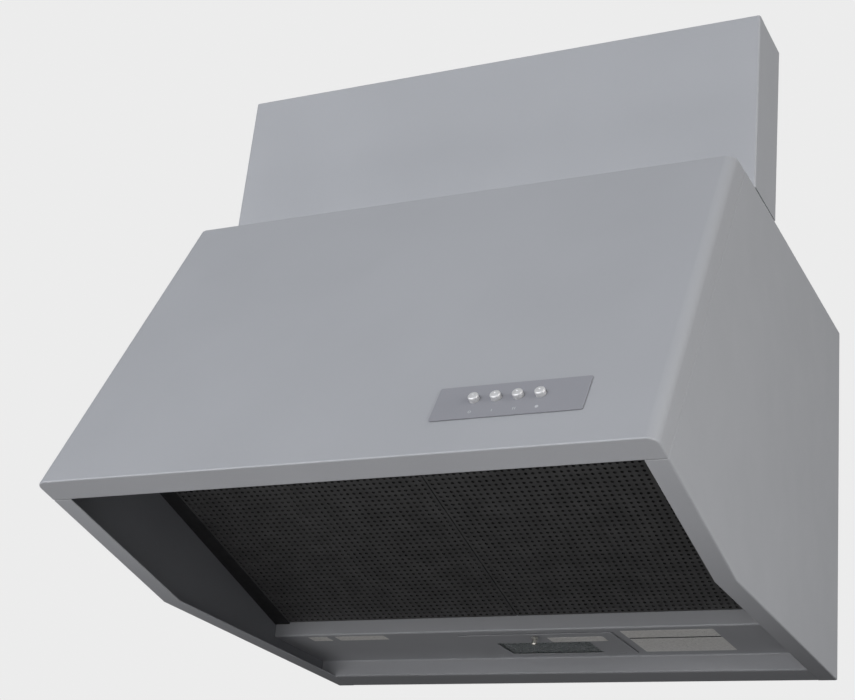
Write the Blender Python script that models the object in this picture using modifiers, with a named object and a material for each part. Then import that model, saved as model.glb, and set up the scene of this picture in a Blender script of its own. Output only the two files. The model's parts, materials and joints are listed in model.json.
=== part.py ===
"""Under cabinet range hood: a deep slanted canopy with an upper curtain panel, two grease
filters, a scroll fan, a recessed lamp and four push buttons.

Metres, +Z up. X runs across the hood, the wall is the plane Y = 0 and the front faces -Y.
The origin is on the wall, on the hood's middle line, halfway up its body. Heights named
"height" below are counted from the hood's bottom edge and turned into Z by level().
"""

import math

import bmesh
import bpy
from mathutils import Matrix, Vector

# Canopy
WIDTH = 0.600
BODY_HEIGHT = 0.400
DEPTH = 0.590  # wall to the bottom edge of the face
TOP_DEPTH = 0.415  # wall to the top edge of the face
FLAT_DEPTH = 0.368  # wall to where the bottom edge starts to rise
FRONT_RISE = 0.050  # height of the bottom edge of the face
SHEET = 0.001
GAP = 0.0003  # between pieces that touch
SEAM = 0.0010  # open joint between the face panel and the side panels
FACE_WRAP = 0.0292  # how far the face panel folds back round the sides
FACE_RADIUS = 0.011
FACE_RIM = 0.012
FLANGE = 0.020  # bottom flange of the side panels
PAST = 0.005  # how far a cutter reaches past the face that it opens
SLOT_X = 0.250  # hanging slots in the top plate
SLOT_Y = (-0.060, -0.240)
SLOT_SIZE = (0.008, 0.024)
KEYHOLE_X = 0.240  # keyholes in the back plate
KEYHOLE_HEIGHT = 0.352
KEYHOLE_RADIUS = 0.0055
KEYHOLE_THROAT = (0.006, 0.016)
LINER_HEAD = (-0.503, 0.150)  # y and height of the front liner's upper edge

# Curtain panel above the canopy
CURTAIN_HEIGHT = 0.200
CURTAIN_FOOT_GAP = 0.002
CURTAIN_DEPTH = 0.347  # wall to its front
CURTAIN_RETURN = 0.072
CURTAIN_TOP_FLANGE = 0.015
BRACKET_REACH = 0.025
BRACKET_RISE = 0.040
BRACKET_LENGTH = 0.030

# Trough behind the filters
TROUGH_FRONT = -0.156
TROUGH_BACK = -0.045
TROUGH_HEIGHT = 0.019
TROUGH_WALL_TOP = 0.066

# Filters
FILTER_SLOPE = math.radians(15.9)
FILTER_REAR_Y = -0.1615
FILTER_REAR_HEIGHT = 0.0335
FILTER_LENGTH = 0.347
FILTER_THICK = 0.010
FILTER_RIM = 0.014
FILTER_OUTER_X = 0.2794
FILTER_INNER_X = 0.0006
ROD_RADIUS = 0.0025
ROD_BEYOND = 0.006  # from the filter's front edge to the rod
KNUCKLE_RADIUS = 0.0045
KNUCKLE_BORE = 0.0028
KNUCKLE_LENGTH = 0.030
RAIL_X = 0.280
RAIL_REAR_Y = -0.158
RAIL_REAR_HEIGHT = 0.0325
RAIL_STAND = 0.030
KNUCKLE_SPREAD = 0.085  # from a filter's middle to each knuckle
ROD_HALF = 0.290
SCREEN_LAYER = (-0.0016, -0.0006)  # depths from the filters' lower plane
PAD_LAYER = (-0.0070, -0.0050)
CATCH_SIZE = (0.040, 0.0147, 0.010)
CATCH_HEIGHT = 0.049

# Lamp
LAMP_COVER_LOW = (-0.077, -0.144)
LAMP_COVER_HIGH = (0.0995, -0.057)
LAMP_PANE_LOW = (-0.0445, -0.1105)
LAMP_PANE_HIGH = (0.062, -0.063)
LAMP_HOLE_LOW = (-0.069, -0.130)
LAMP_HOLE_HIGH = (0.0915, -0.0595)
LAMP_SCREW_X = 0.011
LAMP_SCREW_Y = -0.137
LAMP_BULB_Y = -0.095
LAMP_BULB_HEIGHT = 0.0425
LAMP_HOUSING_HEIGHT = 0.046
LAMP_LAP = 0.004  # from the lamp hole to the housing's outer face
LAMP_SCREW_HOLE = 0.0024
HOOK_X = (-0.060, 0.083)
HOOK_WIDTH = 0.008

# Fan
FAN_X = -0.074
FAN_HEIGHT = 0.218
SCROLL_START = 0.112
SCROLL_END = 0.148
CASING_BACK = 0.021  # distances from the wall
CASING_FRONT = 0.165
INLET_RADIUS = 0.088
INLET_FLANGE = 0.103
IMPELLER_RADIUS = 0.100
IMPELLER_BAND = 0.015  # width of the drum's rings
IMPELLER_RING = 0.002  # thickness of the rings
IMPELLER_BLADES = 30
IMPELLER_BACK = 0.041
IMPELLER_FRONT = 0.155
HUB_BACK = 0.096
HUB_THICK = 0.008
MOTOR_RADIUS = 0.042
MOTOR_FRONT = 0.092
SHAFT_RADIUS = 0.004
SHAFT_END = 0.120
BLADE_SIZE = (0.0116, 0.0010)
BLADE_PITCH = math.radians(25)

# Duct
DUCT_Y = -0.094
DUCT_RADIUS = 0.075
DUCT_FLANGE = 0.092
DUCT_LENGTH = 0.050
DAMPER_HEIGHT = 0.425
DAMPER_OFFSET = 0.012
DAMPER_RADIUS = 0.0712
DAMPER_PIN_RADIUS = 0.0020
DAMPER_PIN_BORE = 0.0023

# Control panel, on the face: x across and "up" from the face's bottom edge
PANEL_X = 0.1605
PANEL_UP = 0.0603
PANEL_SIZE = (0.139, 0.0415)
BUTTON_NAMES = ("button_off", "button_low", "button_high", "button_light")
BUTTON_FIRST_X = 0.1272
BUTTON_PITCH = 0.0202
BUTTON_UP = 0.0630
BUTTON_RADIUS = 0.00475
BUTTON_STAND = 0.0060
BUTTON_HOLE = 0.0051
BUTTON_FOOT = 0.0075
BUTTON_COLLAR = 0.0062
BUTTON_STEM = 0.0030
SWITCH_FRONT = 0.0110  # depths behind the face
SWITCH_BACK = 0.0270
SWITCH_HALF = (0.046, 0.013)
BRACKET_FOOT = 0.062
BRACKET_WEB = 0.049
BRACKET_SHEET = 0.0012

# Electrics
TERMINAL_X = 0.205
TERMINAL_HEIGHT = 0.305
TERMINAL_HALF = (0.055, 0.060)
TERMINAL_DEPTH = 0.045
TERMINAL_WALL = 0.002
CAPACITOR_HEIGHT = 0.205
CAPACITOR_RADIUS = 0.0165
GLAND_PLACE = (0.230, -0.040)
LEAD_RADIUS = 0.003

X_AXIS = Vector((1, 0, 0))
FACE_UP = Vector((0, DEPTH - TOP_DEPTH, BODY_HEIGHT - FRONT_RISE)).normalized()
FACE_OUT = X_AXIS.cross(FACE_UP)
SLOPE_BACK = Vector((0, DEPTH - FLAT_DEPTH, -FRONT_RISE)).normalized()
FILTER_UP = Vector((0, -math.cos(FILTER_SLOPE), math.sin(FILTER_SLOPE)))
FILTER_OUT = X_AXIS.cross(FILTER_UP)

# Materials: name, colour, roughness, metallic
STEEL_PAINT = ("silver_paint", (0.40, 0.42, 0.45), 0.42, 0.35)
GALVANISED = ("galvanised_sheet", (0.50, 0.52, 0.53), 0.38, 0.85)
BLACK_PAINT = ("black_paint", (0.020, 0.020, 0.021), 0.45, 0.10)
FILTER_BLACK = ("filter_black", (0.030, 0.030, 0.031), 0.42, 0.30)
FILTER_MESH = ("filter_mesh", (0.035, 0.035, 0.036), 0.50, 0.60)
BUTTON_METAL = ("button_metal", (0.62, 0.62, 0.63), 0.30, 0.80)
PLATE_FILM = ("plate_film", (0.30, 0.31, 0.34), 0.50, 0.20)
ZINC = ("zinc_plating", (0.60, 0.60, 0.58), 0.32, 0.95)
DARK_PLASTIC = ("dark_plastic", (0.045, 0.045, 0.050), 0.55, 0.0)
GREY_PLASTIC = ("grey_plastic", (0.32, 0.33, 0.34), 0.50, 0.0)
MOTOR_ENAMEL = ("motor_enamel", (0.12, 0.13, 0.14), 0.40, 0.20)
GLASS = ("frosted_glass", (0.75, 0.78, 0.80), 0.35, 0.0)
BULB_GLASS = ("bulb_glass", (0.92, 0.92, 0.90), 0.20, 0.0)
LEAD = ("lead_sheath", (0.60, 0.60, 0.58), 0.50, 0.0)


# ---------------------------------------------------------------- scene and collections


def clear_scene():
    for item in list(bpy.data.objects):
        bpy.data.objects.remove(item, do_unlink=True)


def new_collection(name):
    collection = bpy.data.collections.new(name)
    bpy.context.scene.collection.children.link(collection)
    return collection


clear_scene()
HOOD = new_collection("range_hood")
CUTTERS = new_collection("cutters")


def material(spec):
    name, colour, roughness, metallic = spec
    found = bpy.data.materials.get(name)
    if found:
        return found
    made = bpy.data.materials.new(name)
    made.use_nodes = True
    shader = made.node_tree.nodes["Principled BSDF"]
    shader.inputs["Base Color"].default_value = (*colour, 1.0)
    shader.inputs["Roughness"].default_value = roughness
    shader.inputs["Metallic"].default_value = metallic
    made.diffuse_color = (*colour, 1.0)
    return made


def paint(piece, spec):
    piece.data.materials.clear()
    piece.data.materials.append(material(spec))
    return piece


# ---------------------------------------------------------------- reference frames


def level(height):
    """Z of a height counted from the hood's bottom edge."""
    return height - BODY_HEIGHT / 2


def axes_frame(x_dir, y_dir, origin=(0, 0, 0)):
    """Frame with the given X and Y directions; Z completes it right-handed."""
    x_dir = Vector(x_dir)
    y_dir = Vector(y_dir)
    z_dir = x_dir.cross(y_dir)
    frame = Matrix((x_dir, y_dir, z_dir)).transposed().to_4x4()
    frame.translation = Vector(origin)
    return frame


def side_frame(x=0.0):
    """Local x is world Y, local y is world Z, local z is world X."""
    return axes_frame((0, 1, 0), (0, 0, 1), (x, 0, 0))


def wall_frame(x=0.0, height=BODY_HEIGHT / 2):
    """Local x is world X, local y is world Z, and local z comes out of the wall."""
    return axes_frame((1, 0, 0), (0, 0, 1), (x, 0, level(height)))


def face_frame(x=0.0, up=0.0):
    """On the face: local y runs up it, local z comes out of it."""
    corner = Vector((x, -DEPTH, level(FRONT_RISE)))
    return axes_frame(X_AXIS, FACE_UP, corner + FACE_UP * up)


def filter_frame():
    """On the filters' lower plane: local y runs up to the front, local z points down."""
    corner = (0, FILTER_REAR_Y, level(FILTER_REAR_HEIGHT))
    return axes_frame(X_AXIS, FILTER_UP, corner)


def floor_frame(x=0.0, y=0.0, height=0.0):
    """Upright frame at a height above the hood's bottom edge."""
    return Matrix.Translation((x, y, level(height)))


# ---------------------------------------------------------------- shapes


def add_piece(name, mesh, frame):
    piece = bpy.data.objects.new(name, mesh)
    HOOD.objects.link(piece)
    piece.matrix_world = frame
    return piece


def mesh_piece(name, shape, frame):
    mesh = bpy.data.meshes.new(name)
    shape.to_mesh(mesh)
    shape.free()
    return add_piece(name, mesh, frame)


def box(name, low, high, frame=Matrix.Identity(4)):
    """Box between two corners of a frame, with its own origin at its centre."""
    low = Vector(low)
    high = Vector(high)
    shape = bmesh.new()
    bmesh.ops.create_cube(shape, size=1.0)
    bmesh.ops.scale(shape, vec=high - low, verts=shape.verts)
    return mesh_piece(name, shape, frame @ Matrix.Translation((low + high) / 2))


def wedge(name, corners, x_low, x_high, round_front=0.0):
    """Cube pulled to a four-cornered side outline (front-bottom, rear-bottom, rear-top,
    front-top) between two X positions. round_front rounds its two upright front edges."""
    shape = bmesh.new()
    bmesh.ops.create_cube(shape, size=2.0)
    order = {(-1, -1): 0, (1, -1): 1, (1, 1): 2, (-1, 1): 3}
    front = []
    for vert in shape.verts:
        key = (round(vert.co.y), round(vert.co.z))
        if key[0] < 0:
            front.append(vert)
        y, z = corners[order[key]]
        vert.co = (x_low if vert.co.x < 0 else x_high, y, z)
    if round_front:
        edges = [e for e in shape.edges if all(v in front for v in e.verts)]
        upright = [e for e in edges if abs(e.verts[0].co.x - e.verts[1].co.x) < 1e-6]
        bmesh.ops.bevel(
            shape, geom=upright, offset=round_front, segments=5, profile=0.5,
            affect="EDGES", clamp_overlap=False,
        )
    return mesh_piece(name, shape, Matrix.Identity(4))


def cylinder(name, radius, low, high, frame, sides=32, tip_radius=None):
    """Cylinder or cone along the frame's z, from low to high."""
    shape = bmesh.new()
    bmesh.ops.create_cone(
        shape, cap_ends=True, segments=sides, radius1=radius,
        radius2=radius if tip_radius is None else tip_radius, depth=high - low,
    )
    piece = mesh_piece(name, shape, frame @ Matrix.Translation((0, 0, (low + high) / 2)))
    return smooth(piece)


def smooth(piece):
    piece.data.shade_smooth()
    piece.data.set_sharp_from_angle(angle=math.radians(35))
    return piece


def turned(name, profile, frame, sides=32):
    """Closed outline of (radius, z) points turned round the frame's z. Its outer side runs
    from top to bottom."""
    mesh = bpy.data.meshes.new(name)
    points = [(radius, 0, z) for radius, z in profile]
    edges = [(i, (i + 1) % len(points)) for i in range(len(points))]
    if profile[0][0] == 0:
        edges.pop()
    mesh.from_pydata(points, edges, [])
    piece = add_piece(name, mesh, frame)
    screw = piece.modifiers.new("turn", "SCREW")
    screw.axis = "Z"
    screw.steps = sides
    screw.render_steps = sides
    screw.use_merge_vertices = True
    screw.merge_threshold = 0.00005
    screw.use_smooth_shade = True
    return piece


def outline(name, loops, low, high, frame):
    """Flat outline (with any holes after it) in the frame's xy, thick from low to high."""
    curve = bpy.data.curves.new(name, "CURVE")
    curve.dimensions = "2D"
    curve.fill_mode = "BOTH"
    curve.extrude = (high - low) / 2
    for loop in loops:
        spline = curve.splines.new("POLY")
        spline.points.add(len(loop) - 1)
        for point, (x, y) in zip(spline.points, loop):
            point.co = (x, y, 0, 1)
        spline.use_cyclic_u = True
    drawn = add_piece(name, curve, frame @ Matrix.Translation((0, 0, (low + high) / 2)))
    return as_mesh(drawn)


def tube(name, points, radius):
    """Round lead along a smooth curve through the points."""
    curve = bpy.data.curves.new(name, "CURVE")
    curve.dimensions = "3D"
    curve.bevel_depth = radius
    curve.bevel_resolution = 2
    curve.use_fill_caps = True
    path = smooth_path([Vector(p) for p in points], 5)
    spline = curve.splines.new("POLY")
    spline.points.add(len(path) - 1)
    for point, place in zip(spline.points, path):
        point.co = (*place, 1)
    return as_mesh(add_piece(name, curve, Matrix.Identity(4)))


def smooth_path(points, steps):
    """Catmull-Rom curve through the points."""
    padded = [points[0] * 2 - points[1], *points, points[-1] * 2 - points[-2]]
    path = []
    for a, b, c, d in zip(padded, padded[1:], padded[2:], padded[3:]):
        for step in range(steps):
            t = step / steps
            bend = 2 * b + (c - a) * t + (2 * a - 5 * b + 4 * c - d) * t * t
            path.append((bend + (3 * b - a - 3 * c + d) * t * t * t) / 2)
    return [*path, points[-1]]


def as_mesh(drawn):
    """Replaces a curve object by a mesh object of the same name and place."""
    bpy.context.view_layer.update()
    view = bpy.context.evaluated_depsgraph_get()
    mesh = bpy.data.meshes.new_from_object(drawn.evaluated_get(view))
    name = drawn.name
    frame = drawn.matrix_world.copy()
    bpy.data.objects.remove(drawn, do_unlink=True)
    shape = bmesh.new()
    shape.from_mesh(mesh)
    bmesh.ops.remove_doubles(shape, verts=shape.verts, dist=1e-6)
    shape.to_mesh(mesh)
    shape.free()
    return add_piece(name, mesh, frame)


def combine(name, pieces):
    """One joining tool from several solids, placed as the first of them."""
    bpy.context.view_layer.update()
    view = bpy.context.evaluated_depsgraph_get()
    home = pieces[0].matrix_world.copy()
    shape = bmesh.new()
    for piece in pieces:
        mesh = bpy.data.meshes.new_from_object(piece.evaluated_get(view))
        mesh.transform(home.inverted() @ piece.matrix_world)
        shape.from_mesh(mesh)
    for piece in pieces:
        bpy.data.objects.remove(piece, do_unlink=True)
    return mesh_piece(name, shape, home)


def boolean(target, tools, operation):
    for tool in tools:
        HOOD.objects.unlink(tool)
        CUTTERS.objects.link(tool)
        tool.hide_render = True
        tool.display_type = "WIRE"
        modifier = target.modifiers.new(operation.lower(), "BOOLEAN")
        modifier.operation = operation
        modifier.solver = "EXACT"
        modifier.object = tool
    return target


def cut(target, *tools):
    return boolean(target, tools, "DIFFERENCE")


def join(target, *tools):
    return boolean(target, tools, "UNION")


def inset(points, amounts):
    """Counter-clockwise outline with each edge moved inwards by its own amount. Edge i runs
    from point i to the next; a negative amount moves it outwards."""
    lines = []
    for i, amount in enumerate(amounts):
        start = Vector(points[i])
        along = (Vector(points[(i + 1) % len(points)]) - start).normalized()
        inward = Vector((-along.y, along.x))
        lines.append((start + inward * amount, along))
    corners = []
    for i in range(len(lines)):
        corners.append(meet(*lines[i - 1], *lines[i]))
    return [tuple(corner) for corner in corners]


def meet(p, along_p, q, along_q):
    """Where two lines in a plane cross."""
    between = q - p
    t = (between.x * along_q.y - between.y * along_q.x) / (
        along_p.x * along_q.y - along_p.y * along_q.x
    )
    return p + along_p * t


def rounded_rectangle(width, height, radius, steps=4):
    """Counter-clockwise rectangle about the origin with round corners."""
    points = []
    corners = ((1, -1, -90), (1, 1, 0), (-1, 1, 90), (-1, -1, 180))
    for sign_x, sign_y, start in corners:
        centre_x = sign_x * (width / 2 - radius)
        centre_y = sign_y * (height / 2 - radius)
        for step in range(steps + 1):
            angle = math.radians(start + 90 * step / steps)
            x = centre_x + radius * math.cos(angle)
            points.append((x, centre_y + radius * math.sin(angle)))
    return points


def screw_head(name, frame, radius=0.0038, height=0.0022):
    """Pan head of a screw that stands on the frame's xy plane."""
    shoulder = (radius, height * 0.55)
    profile = [(0, height), (radius * 0.6, height), shoulder, (radius, GAP), (0, GAP)]
    return turned(name, profile, frame, 12)


# ---------------------------------------------------------------- canopy outline


def face_point(up, inward):
    """(y, z) of a point above the face's bottom edge and behind the face."""
    place = Vector((0, -DEPTH, level(FRONT_RISE))) + FACE_UP * up - FACE_OUT * inward
    return Vector((place.y, place.z))


def face_section(inward):
    """Where the plane at a depth behind the face meets the sloping bottom and the top."""
    along = Vector((FACE_UP.y, FACE_UP.z))
    start = face_point(0, inward)
    slope = Vector((SLOPE_BACK.y, SLOPE_BACK.z))
    bottom = meet(start, along, face_point(0, 0), slope)
    top = meet(start, along, Vector((0, level(BODY_HEIGHT))), Vector((1, 0)))
    return tuple(bottom), tuple(top)


def build_front_panel():
    """Folded tray: face, side returns with an inner rim, bottom lip and top return."""
    near_bottom, near_top = face_section(0)
    far_bottom, far_top = face_section(FACE_WRAP)
    corners = [near_bottom, far_bottom, far_top, near_top]
    inner = inset(corners, [SHEET] * 4)
    half = WIDTH / 2
    panel = wedge("front_panel", corners, -half, half, FACE_RADIUS)
    hollow = wedge(
        "front_hollow", inner, -half + SHEET, half - SHEET, FACE_RADIUS - SHEET
    )
    past = inset(corners, [SHEET, -PAST, SHEET, FACE_WRAP / 2])
    back = wedge("front_back_opening", past, -half + FACE_RIM, half - FACE_RIM)
    cut(panel, hollow, back)
    for x in button_places():
        cut(panel, cylinder("face_hole", BUTTON_HOLE, -PAST, PAST, face_frame(x, BUTTON_UP)))
    return paint(panel, STEEL_PAINT)


def build_side_panel(name, side):
    """Flat side with flanges inwards along its bottom and front edges."""
    seam_bottom, seam_top = face_section(FACE_WRAP + SEAM)
    floor = level(0)
    corners = [
        seam_bottom, (-FLAT_DEPTH, floor), (0, floor), (0, level(BODY_HEIGHT)), seam_top,
    ]
    inner = inset(corners, [SHEET, SHEET, -PAST, -PAST, SHEET])
    outer_x = side * WIDTH / 2
    inner_x = side * (WIDTH / 2 - FLANGE)
    low, high = sorted((outer_x, inner_x))
    panel = outline(name, [corners], low, high, side_frame())
    hollow_low, hollow_high = sorted((outer_x - side * SHEET, inner_x - side * PAST))
    hollow = outline(name + "_hollow", [inner], hollow_low, hollow_high, side_frame())
    return paint(cut(panel, hollow), STEEL_PAINT)


def build_top_plate():
    """Top of the canopy with side flanges, the duct hole and four hanging slots."""
    _, flange_top = face_section(FACE_WRAP + SEAM + SHEET)
    front = flange_top[0] + GAP
    half = WIDTH / 2 - SHEET - GAP
    top = level(BODY_HEIGHT)
    depth = 3 * PAST
    plate = box("top_plate", (-half, front, top - depth), (half, -SHEET - GAP, top))
    under = box(
        "top_under", (SHEET - half, front - PAST, top - 2 * depth),
        (half - SHEET, PAST, top - SHEET),
    )
    place = floor_frame(0, DUCT_Y, BODY_HEIGHT)
    cut(plate, under, cylinder("duct_hole", DUCT_RADIUS - 2 * SHEET, -PAST, PAST, place, 48))
    shape = rounded_rectangle(*SLOT_SIZE, SLOT_SIZE[0] / 2 - 0.0001)
    for x in (-SLOT_X, SLOT_X):
        for y in SLOT_Y:
            cut(plate, outline("slot", [shape], -PAST, PAST, floor_frame(x, y, BODY_HEIGHT)))
    place = floor_frame(*GLAND_PLACE, BODY_HEIGHT)
    cut(plate, cylinder("gland_hole", 0.0085, -PAST, PAST, place, 24))
    return paint(plate, GALVANISED)


def build_back_plate():
    """Back of the canopy with side flanges and keyhole slots near its top corners."""
    half = WIDTH / 2 - SHEET - GAP
    low = level(SHEET + GAP)
    high = level(BODY_HEIGHT - SHEET - GAP)
    flange_top = level(BODY_HEIGHT - 0.017)
    plate = box("back_plate", (-half, -SHEET, low), (half, 0, high))
    for side in (-1, 1):
        low_x, high_x = sorted((side * half, side * (half - SHEET)))
        flange = box("back_flange", (low_x, -0.016, low), (high_x, -SHEET / 2, flange_top))
        join(plate, flange)
    width, rise = KEYHOLE_THROAT
    for x in (-KEYHOLE_X, KEYHOLE_X):
        place = wall_frame(x, KEYHOLE_HEIGHT)
        keyhole = cylinder("key_round", KEYHOLE_RADIUS, -PAST, PAST, place, 20)
        throat = box("key_throat", (-width / 2, 0, -PAST), (width / 2, rise, PAST), place)
        cut(plate, keyhole, throat)
    return paint(plate, GALVANISED)


def build_rear_trough():
    """Bent sheet: rear flange, step, trough bottom and front wall, with the lamp hole."""
    flange_end = -SHEET - GAP
    bottom = TROUGH_HEIGHT
    profile = [
        (TROUGH_FRONT, TROUGH_WALL_TOP), (TROUGH_FRONT, bottom), (TROUGH_BACK, bottom),
        (TROUGH_BACK, 0), (flange_end, 0), (flange_end, SHEET),
        (TROUGH_BACK + SHEET, SHEET), (TROUGH_BACK + SHEET, bottom + SHEET),
        (TROUGH_FRONT + SHEET, bottom + SHEET), (TROUGH_FRONT + SHEET, TROUGH_WALL_TOP),
    ]
    half = WIDTH / 2 - SHEET - GAP
    points = [(y, level(height)) for y, height in profile]
    trough = outline("rear_trough", [points], -half, half, side_frame())
    for side in (-1, 1):
        low_x, high_x = sorted((side * (WIDTH / 2 - FLANGE - GAP), side * WIDTH / 2))
        notch = box(
            "trough_notch", (low_x, TROUGH_BACK - 2 * SHEET, level(-PAST)),
            (high_x, 2 * SHEET, level(SHEET + GAP)),
        )
        cut(trough, notch)
    lamp_hole = box(
        "lamp_hole", (*LAMP_HOLE_LOW, level(bottom - PAST)), (*LAMP_HOLE_HIGH, level(bottom + PAST))
    )
    place = floor_frame(LAMP_SCREW_X, LAMP_SCREW_Y, bottom)
    screw_hole = cylinder("lamp_screw_hole", LAMP_SCREW_HOLE, -PAST, PAST, place, 16)
    return paint(cut(trough, lamp_hole, screw_hole), STEEL_PAINT)


def build_front_liner():
    """Inner sheet from the face's bottom lip up to the filters' front edge. It closes the
    space behind the face where the switch unit sits."""
    slope = Vector((SLOPE_BACK.y, SLOPE_BACK.z))
    upward = Vector((-slope.y, slope.x))
    corner = face_point(0, 0)
    foot_front = corner + slope * 0.018 + upward * (SHEET + GAP)
    foot_rear = corner + slope * 0.029 + upward * (SHEET + GAP)
    head = Vector((LINER_HEAD[0], level(LINER_HEAD[1])))
    rise = (head - foot_rear).normalized()
    behind = Vector((-rise.y, rise.x))
    points = [
        foot_front, foot_rear, head, head + behind * SHEET,
        meet(foot_rear + behind * SHEET, rise, foot_front + upward * SHEET, slope),
        foot_front + upward * SHEET,
    ]
    half = RAIL_X - GAP
    outline_points = [tuple(point) for point in points]
    return paint(
        outline("front_liner", [outline_points], -half, half, side_frame()), BLACK_PAINT
    )


# ---------------------------------------------------------------- curtain


def build_curtain_panel():
    """U-shaped upper panel with a flange along its top edge."""
    half = WIDTH / 2
    front = -CURTAIN_DEPTH
    rear = front + CURTAIN_RETURN
    low = level(BODY_HEIGHT + CURTAIN_FOOT_GAP)
    high = low + CURTAIN_HEIGHT
    outer = [(front, low), (rear, low), (rear, high), (front, high)]
    panel = wedge("curtain_panel", outer, -half, half, 2.5 * SHEET)
    inner = inset(outer, [-PAST, -PAST, SHEET, SHEET])
    hollow = wedge("curtain_hollow", inner, SHEET - half, half - SHEET, 1.5 * SHEET)
    behind = front + CURTAIN_TOP_FLANGE
    opening = box(
        "curtain_opening", (SHEET - half, behind, low - PAST), (half - SHEET, 0, high + PAST)
    )
    return paint(cut(panel, hollow, opening), STEEL_PAINT)


def build_curtain_bracket(word, side):
    """Angle bracket from the top plate to the curtain's side return, and its screw."""
    half = WIDTH / 2 - SHEET - GAP
    base = BODY_HEIGHT + GAP
    thick = 2 * SHEET
    points = [
        (half - BRACKET_REACH, base), (half, base), (half, base + BRACKET_RISE),
        (half - thick, base + BRACKET_RISE), (half - thick, base + thick),
        (half - BRACKET_REACH, base + thick),
    ]
    if side < 0:
        points = [(-x, height) for x, height in reversed(points)]
    loop = [(x, level(height)) for x, height in points]
    out = CURTAIN_DEPTH - BRACKET_LENGTH - PAST
    bracket = outline("curtain_bracket_" + word, [loop], out, out + BRACKET_LENGTH, wall_frame())
    paint(bracket, GALVANISED)
    middle = floor_frame(
        side * (half - thick - BRACKET_REACH / 2), -out - BRACKET_LENGTH / 2, base + thick
    )
    paint(screw_head("curtain_screw_" + word, middle), ZINC)


# ---------------------------------------------------------------- filters


def filter_span(side):
    return sorted((side * FILTER_INNER_X, side * FILTER_OUTER_X))


def build_filter_frame(name, side):
    """Rim of folded sheet with two knuckles on its front edge."""
    low_x, high_x = filter_span(side)
    place = filter_frame()
    rim = box(name, (low_x, 0, -FILTER_THICK), (high_x, FILTER_LENGTH, 0), place)
    window = box(
        name + "_window", (low_x + FILTER_RIM, FILTER_RIM, -FILTER_THICK - PAST),
        (high_x - FILTER_RIM, FILTER_LENGTH - FILTER_RIM, PAST), place,
    )
    cut(rim, window)
    centre = (low_x + high_x) / 2
    half = KNUCKLE_LENGTH / 2
    for x in (centre - KNUCKLE_SPREAD, centre + KNUCKLE_SPREAD):
        axis = knuckle_frame(x)
        barrel = cylinder(name + "_knuckle", KNUCKLE_RADIUS, -half, half, axis, 20)
        leaf = box(
            name + "_leaf", (x - half + SHEET, FILTER_LENGTH - 2 * SHEET, -0.0065),
            (x + half - SHEET, FILTER_LENGTH + KNUCKLE_BORE, -0.0035), place,
        )
        join(rim, barrel, leaf)
        cut(rim, cylinder(name + "_bore", KNUCKLE_BORE, -half - PAST, half + PAST, axis, 20))
    return paint(rim, FILTER_BLACK)


def knuckle_frame(x=0.0):
    """On the filters' hinge axis, with local z along world X."""
    local = Vector((x, FILTER_LENGTH + ROD_BEYOND, -FILTER_THICK / 2))
    return axes_frame((0, 1, 0), (0, 0, 1), filter_frame() @ local)


def filter_layer(name, side, low, high, spec):
    """Flat layer that fills the rim, between two depths from the lower plane."""
    low_x, high_x = filter_span(side)
    edge = FILTER_RIM + GAP
    layer = box(
        name, (low_x + edge, edge, low), (high_x - edge, FILTER_LENGTH - edge, high),
        filter_frame(),
    )
    return paint(layer, spec)


def build_filters():
    for word, side in (("left", -1), ("right", 1)):
        build_filter_frame("filter_frame_" + word, side)
        filter_layer("filter_screen_" + word, side, *SCREEN_LAYER, FILTER_BLACK)
        filter_layer("filter_pad_" + word, side, *PAD_LAYER, FILTER_MESH)
    rod = cylinder("filter_hinge_rod", ROD_RADIUS, -ROD_HALF, ROD_HALF, knuckle_frame(), 16)
    paint(rod, ZINC)


def build_filter_rail(name, side):
    """Channel on the side panel beside the filters, flush with their lower side."""
    slope = Vector((-math.cos(FILTER_SLOPE), math.sin(FILTER_SLOPE)))
    rear_bottom = Vector((RAIL_REAR_Y, level(RAIL_REAR_HEIGHT)))
    rear_top = rear_bottom + Vector((0, RAIL_STAND))
    end = face_point(0, FACE_WRAP + PAST)
    along = Vector((FACE_UP.y, FACE_UP.z))
    front_bottom = meet(rear_bottom, slope, end, along)
    front_top = meet(rear_top, slope, end, along)
    corners = [tuple(p) for p in (front_bottom, rear_bottom, rear_top, front_top)]
    inner = inset(corners, [SHEET, SHEET, SHEET, SHEET])
    wall_x = side * (WIDTH / 2 - SHEET - GAP)
    low, high = sorted((side * RAIL_X, wall_x))
    rail = wedge(name, corners, low, high)
    low, high = sorted((side * (RAIL_X + SHEET), wall_x + side * PAST))
    cut(rail, wedge(name + "_hollow", inner, low, high))
    hole = cylinder(name + "_hole", KNUCKLE_BORE, -WIDTH / 2, WIDTH / 2, knuckle_frame(), 16)
    return paint(cut(rail, hole), BLACK_PAINT)


def build_filter_catches():
    """Magnetic catches on the trough's front wall, just above the filters' rear rims."""
    for word, side in (("left", -1), ("right", 1)):
        x = side * (FILTER_INNER_X + FILTER_OUTER_X) / 2
        width, depth, rise = CATCH_SIZE
        rear = TROUGH_FRONT - GAP
        low = (x - width / 2, rear - depth, level(CATCH_HEIGHT))
        high = (x + width / 2, rear, level(CATCH_HEIGHT + rise))
        paint(box("filter_catch_" + word, low, high), DARK_PLASTIC)


# ---------------------------------------------------------------- lamp


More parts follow.
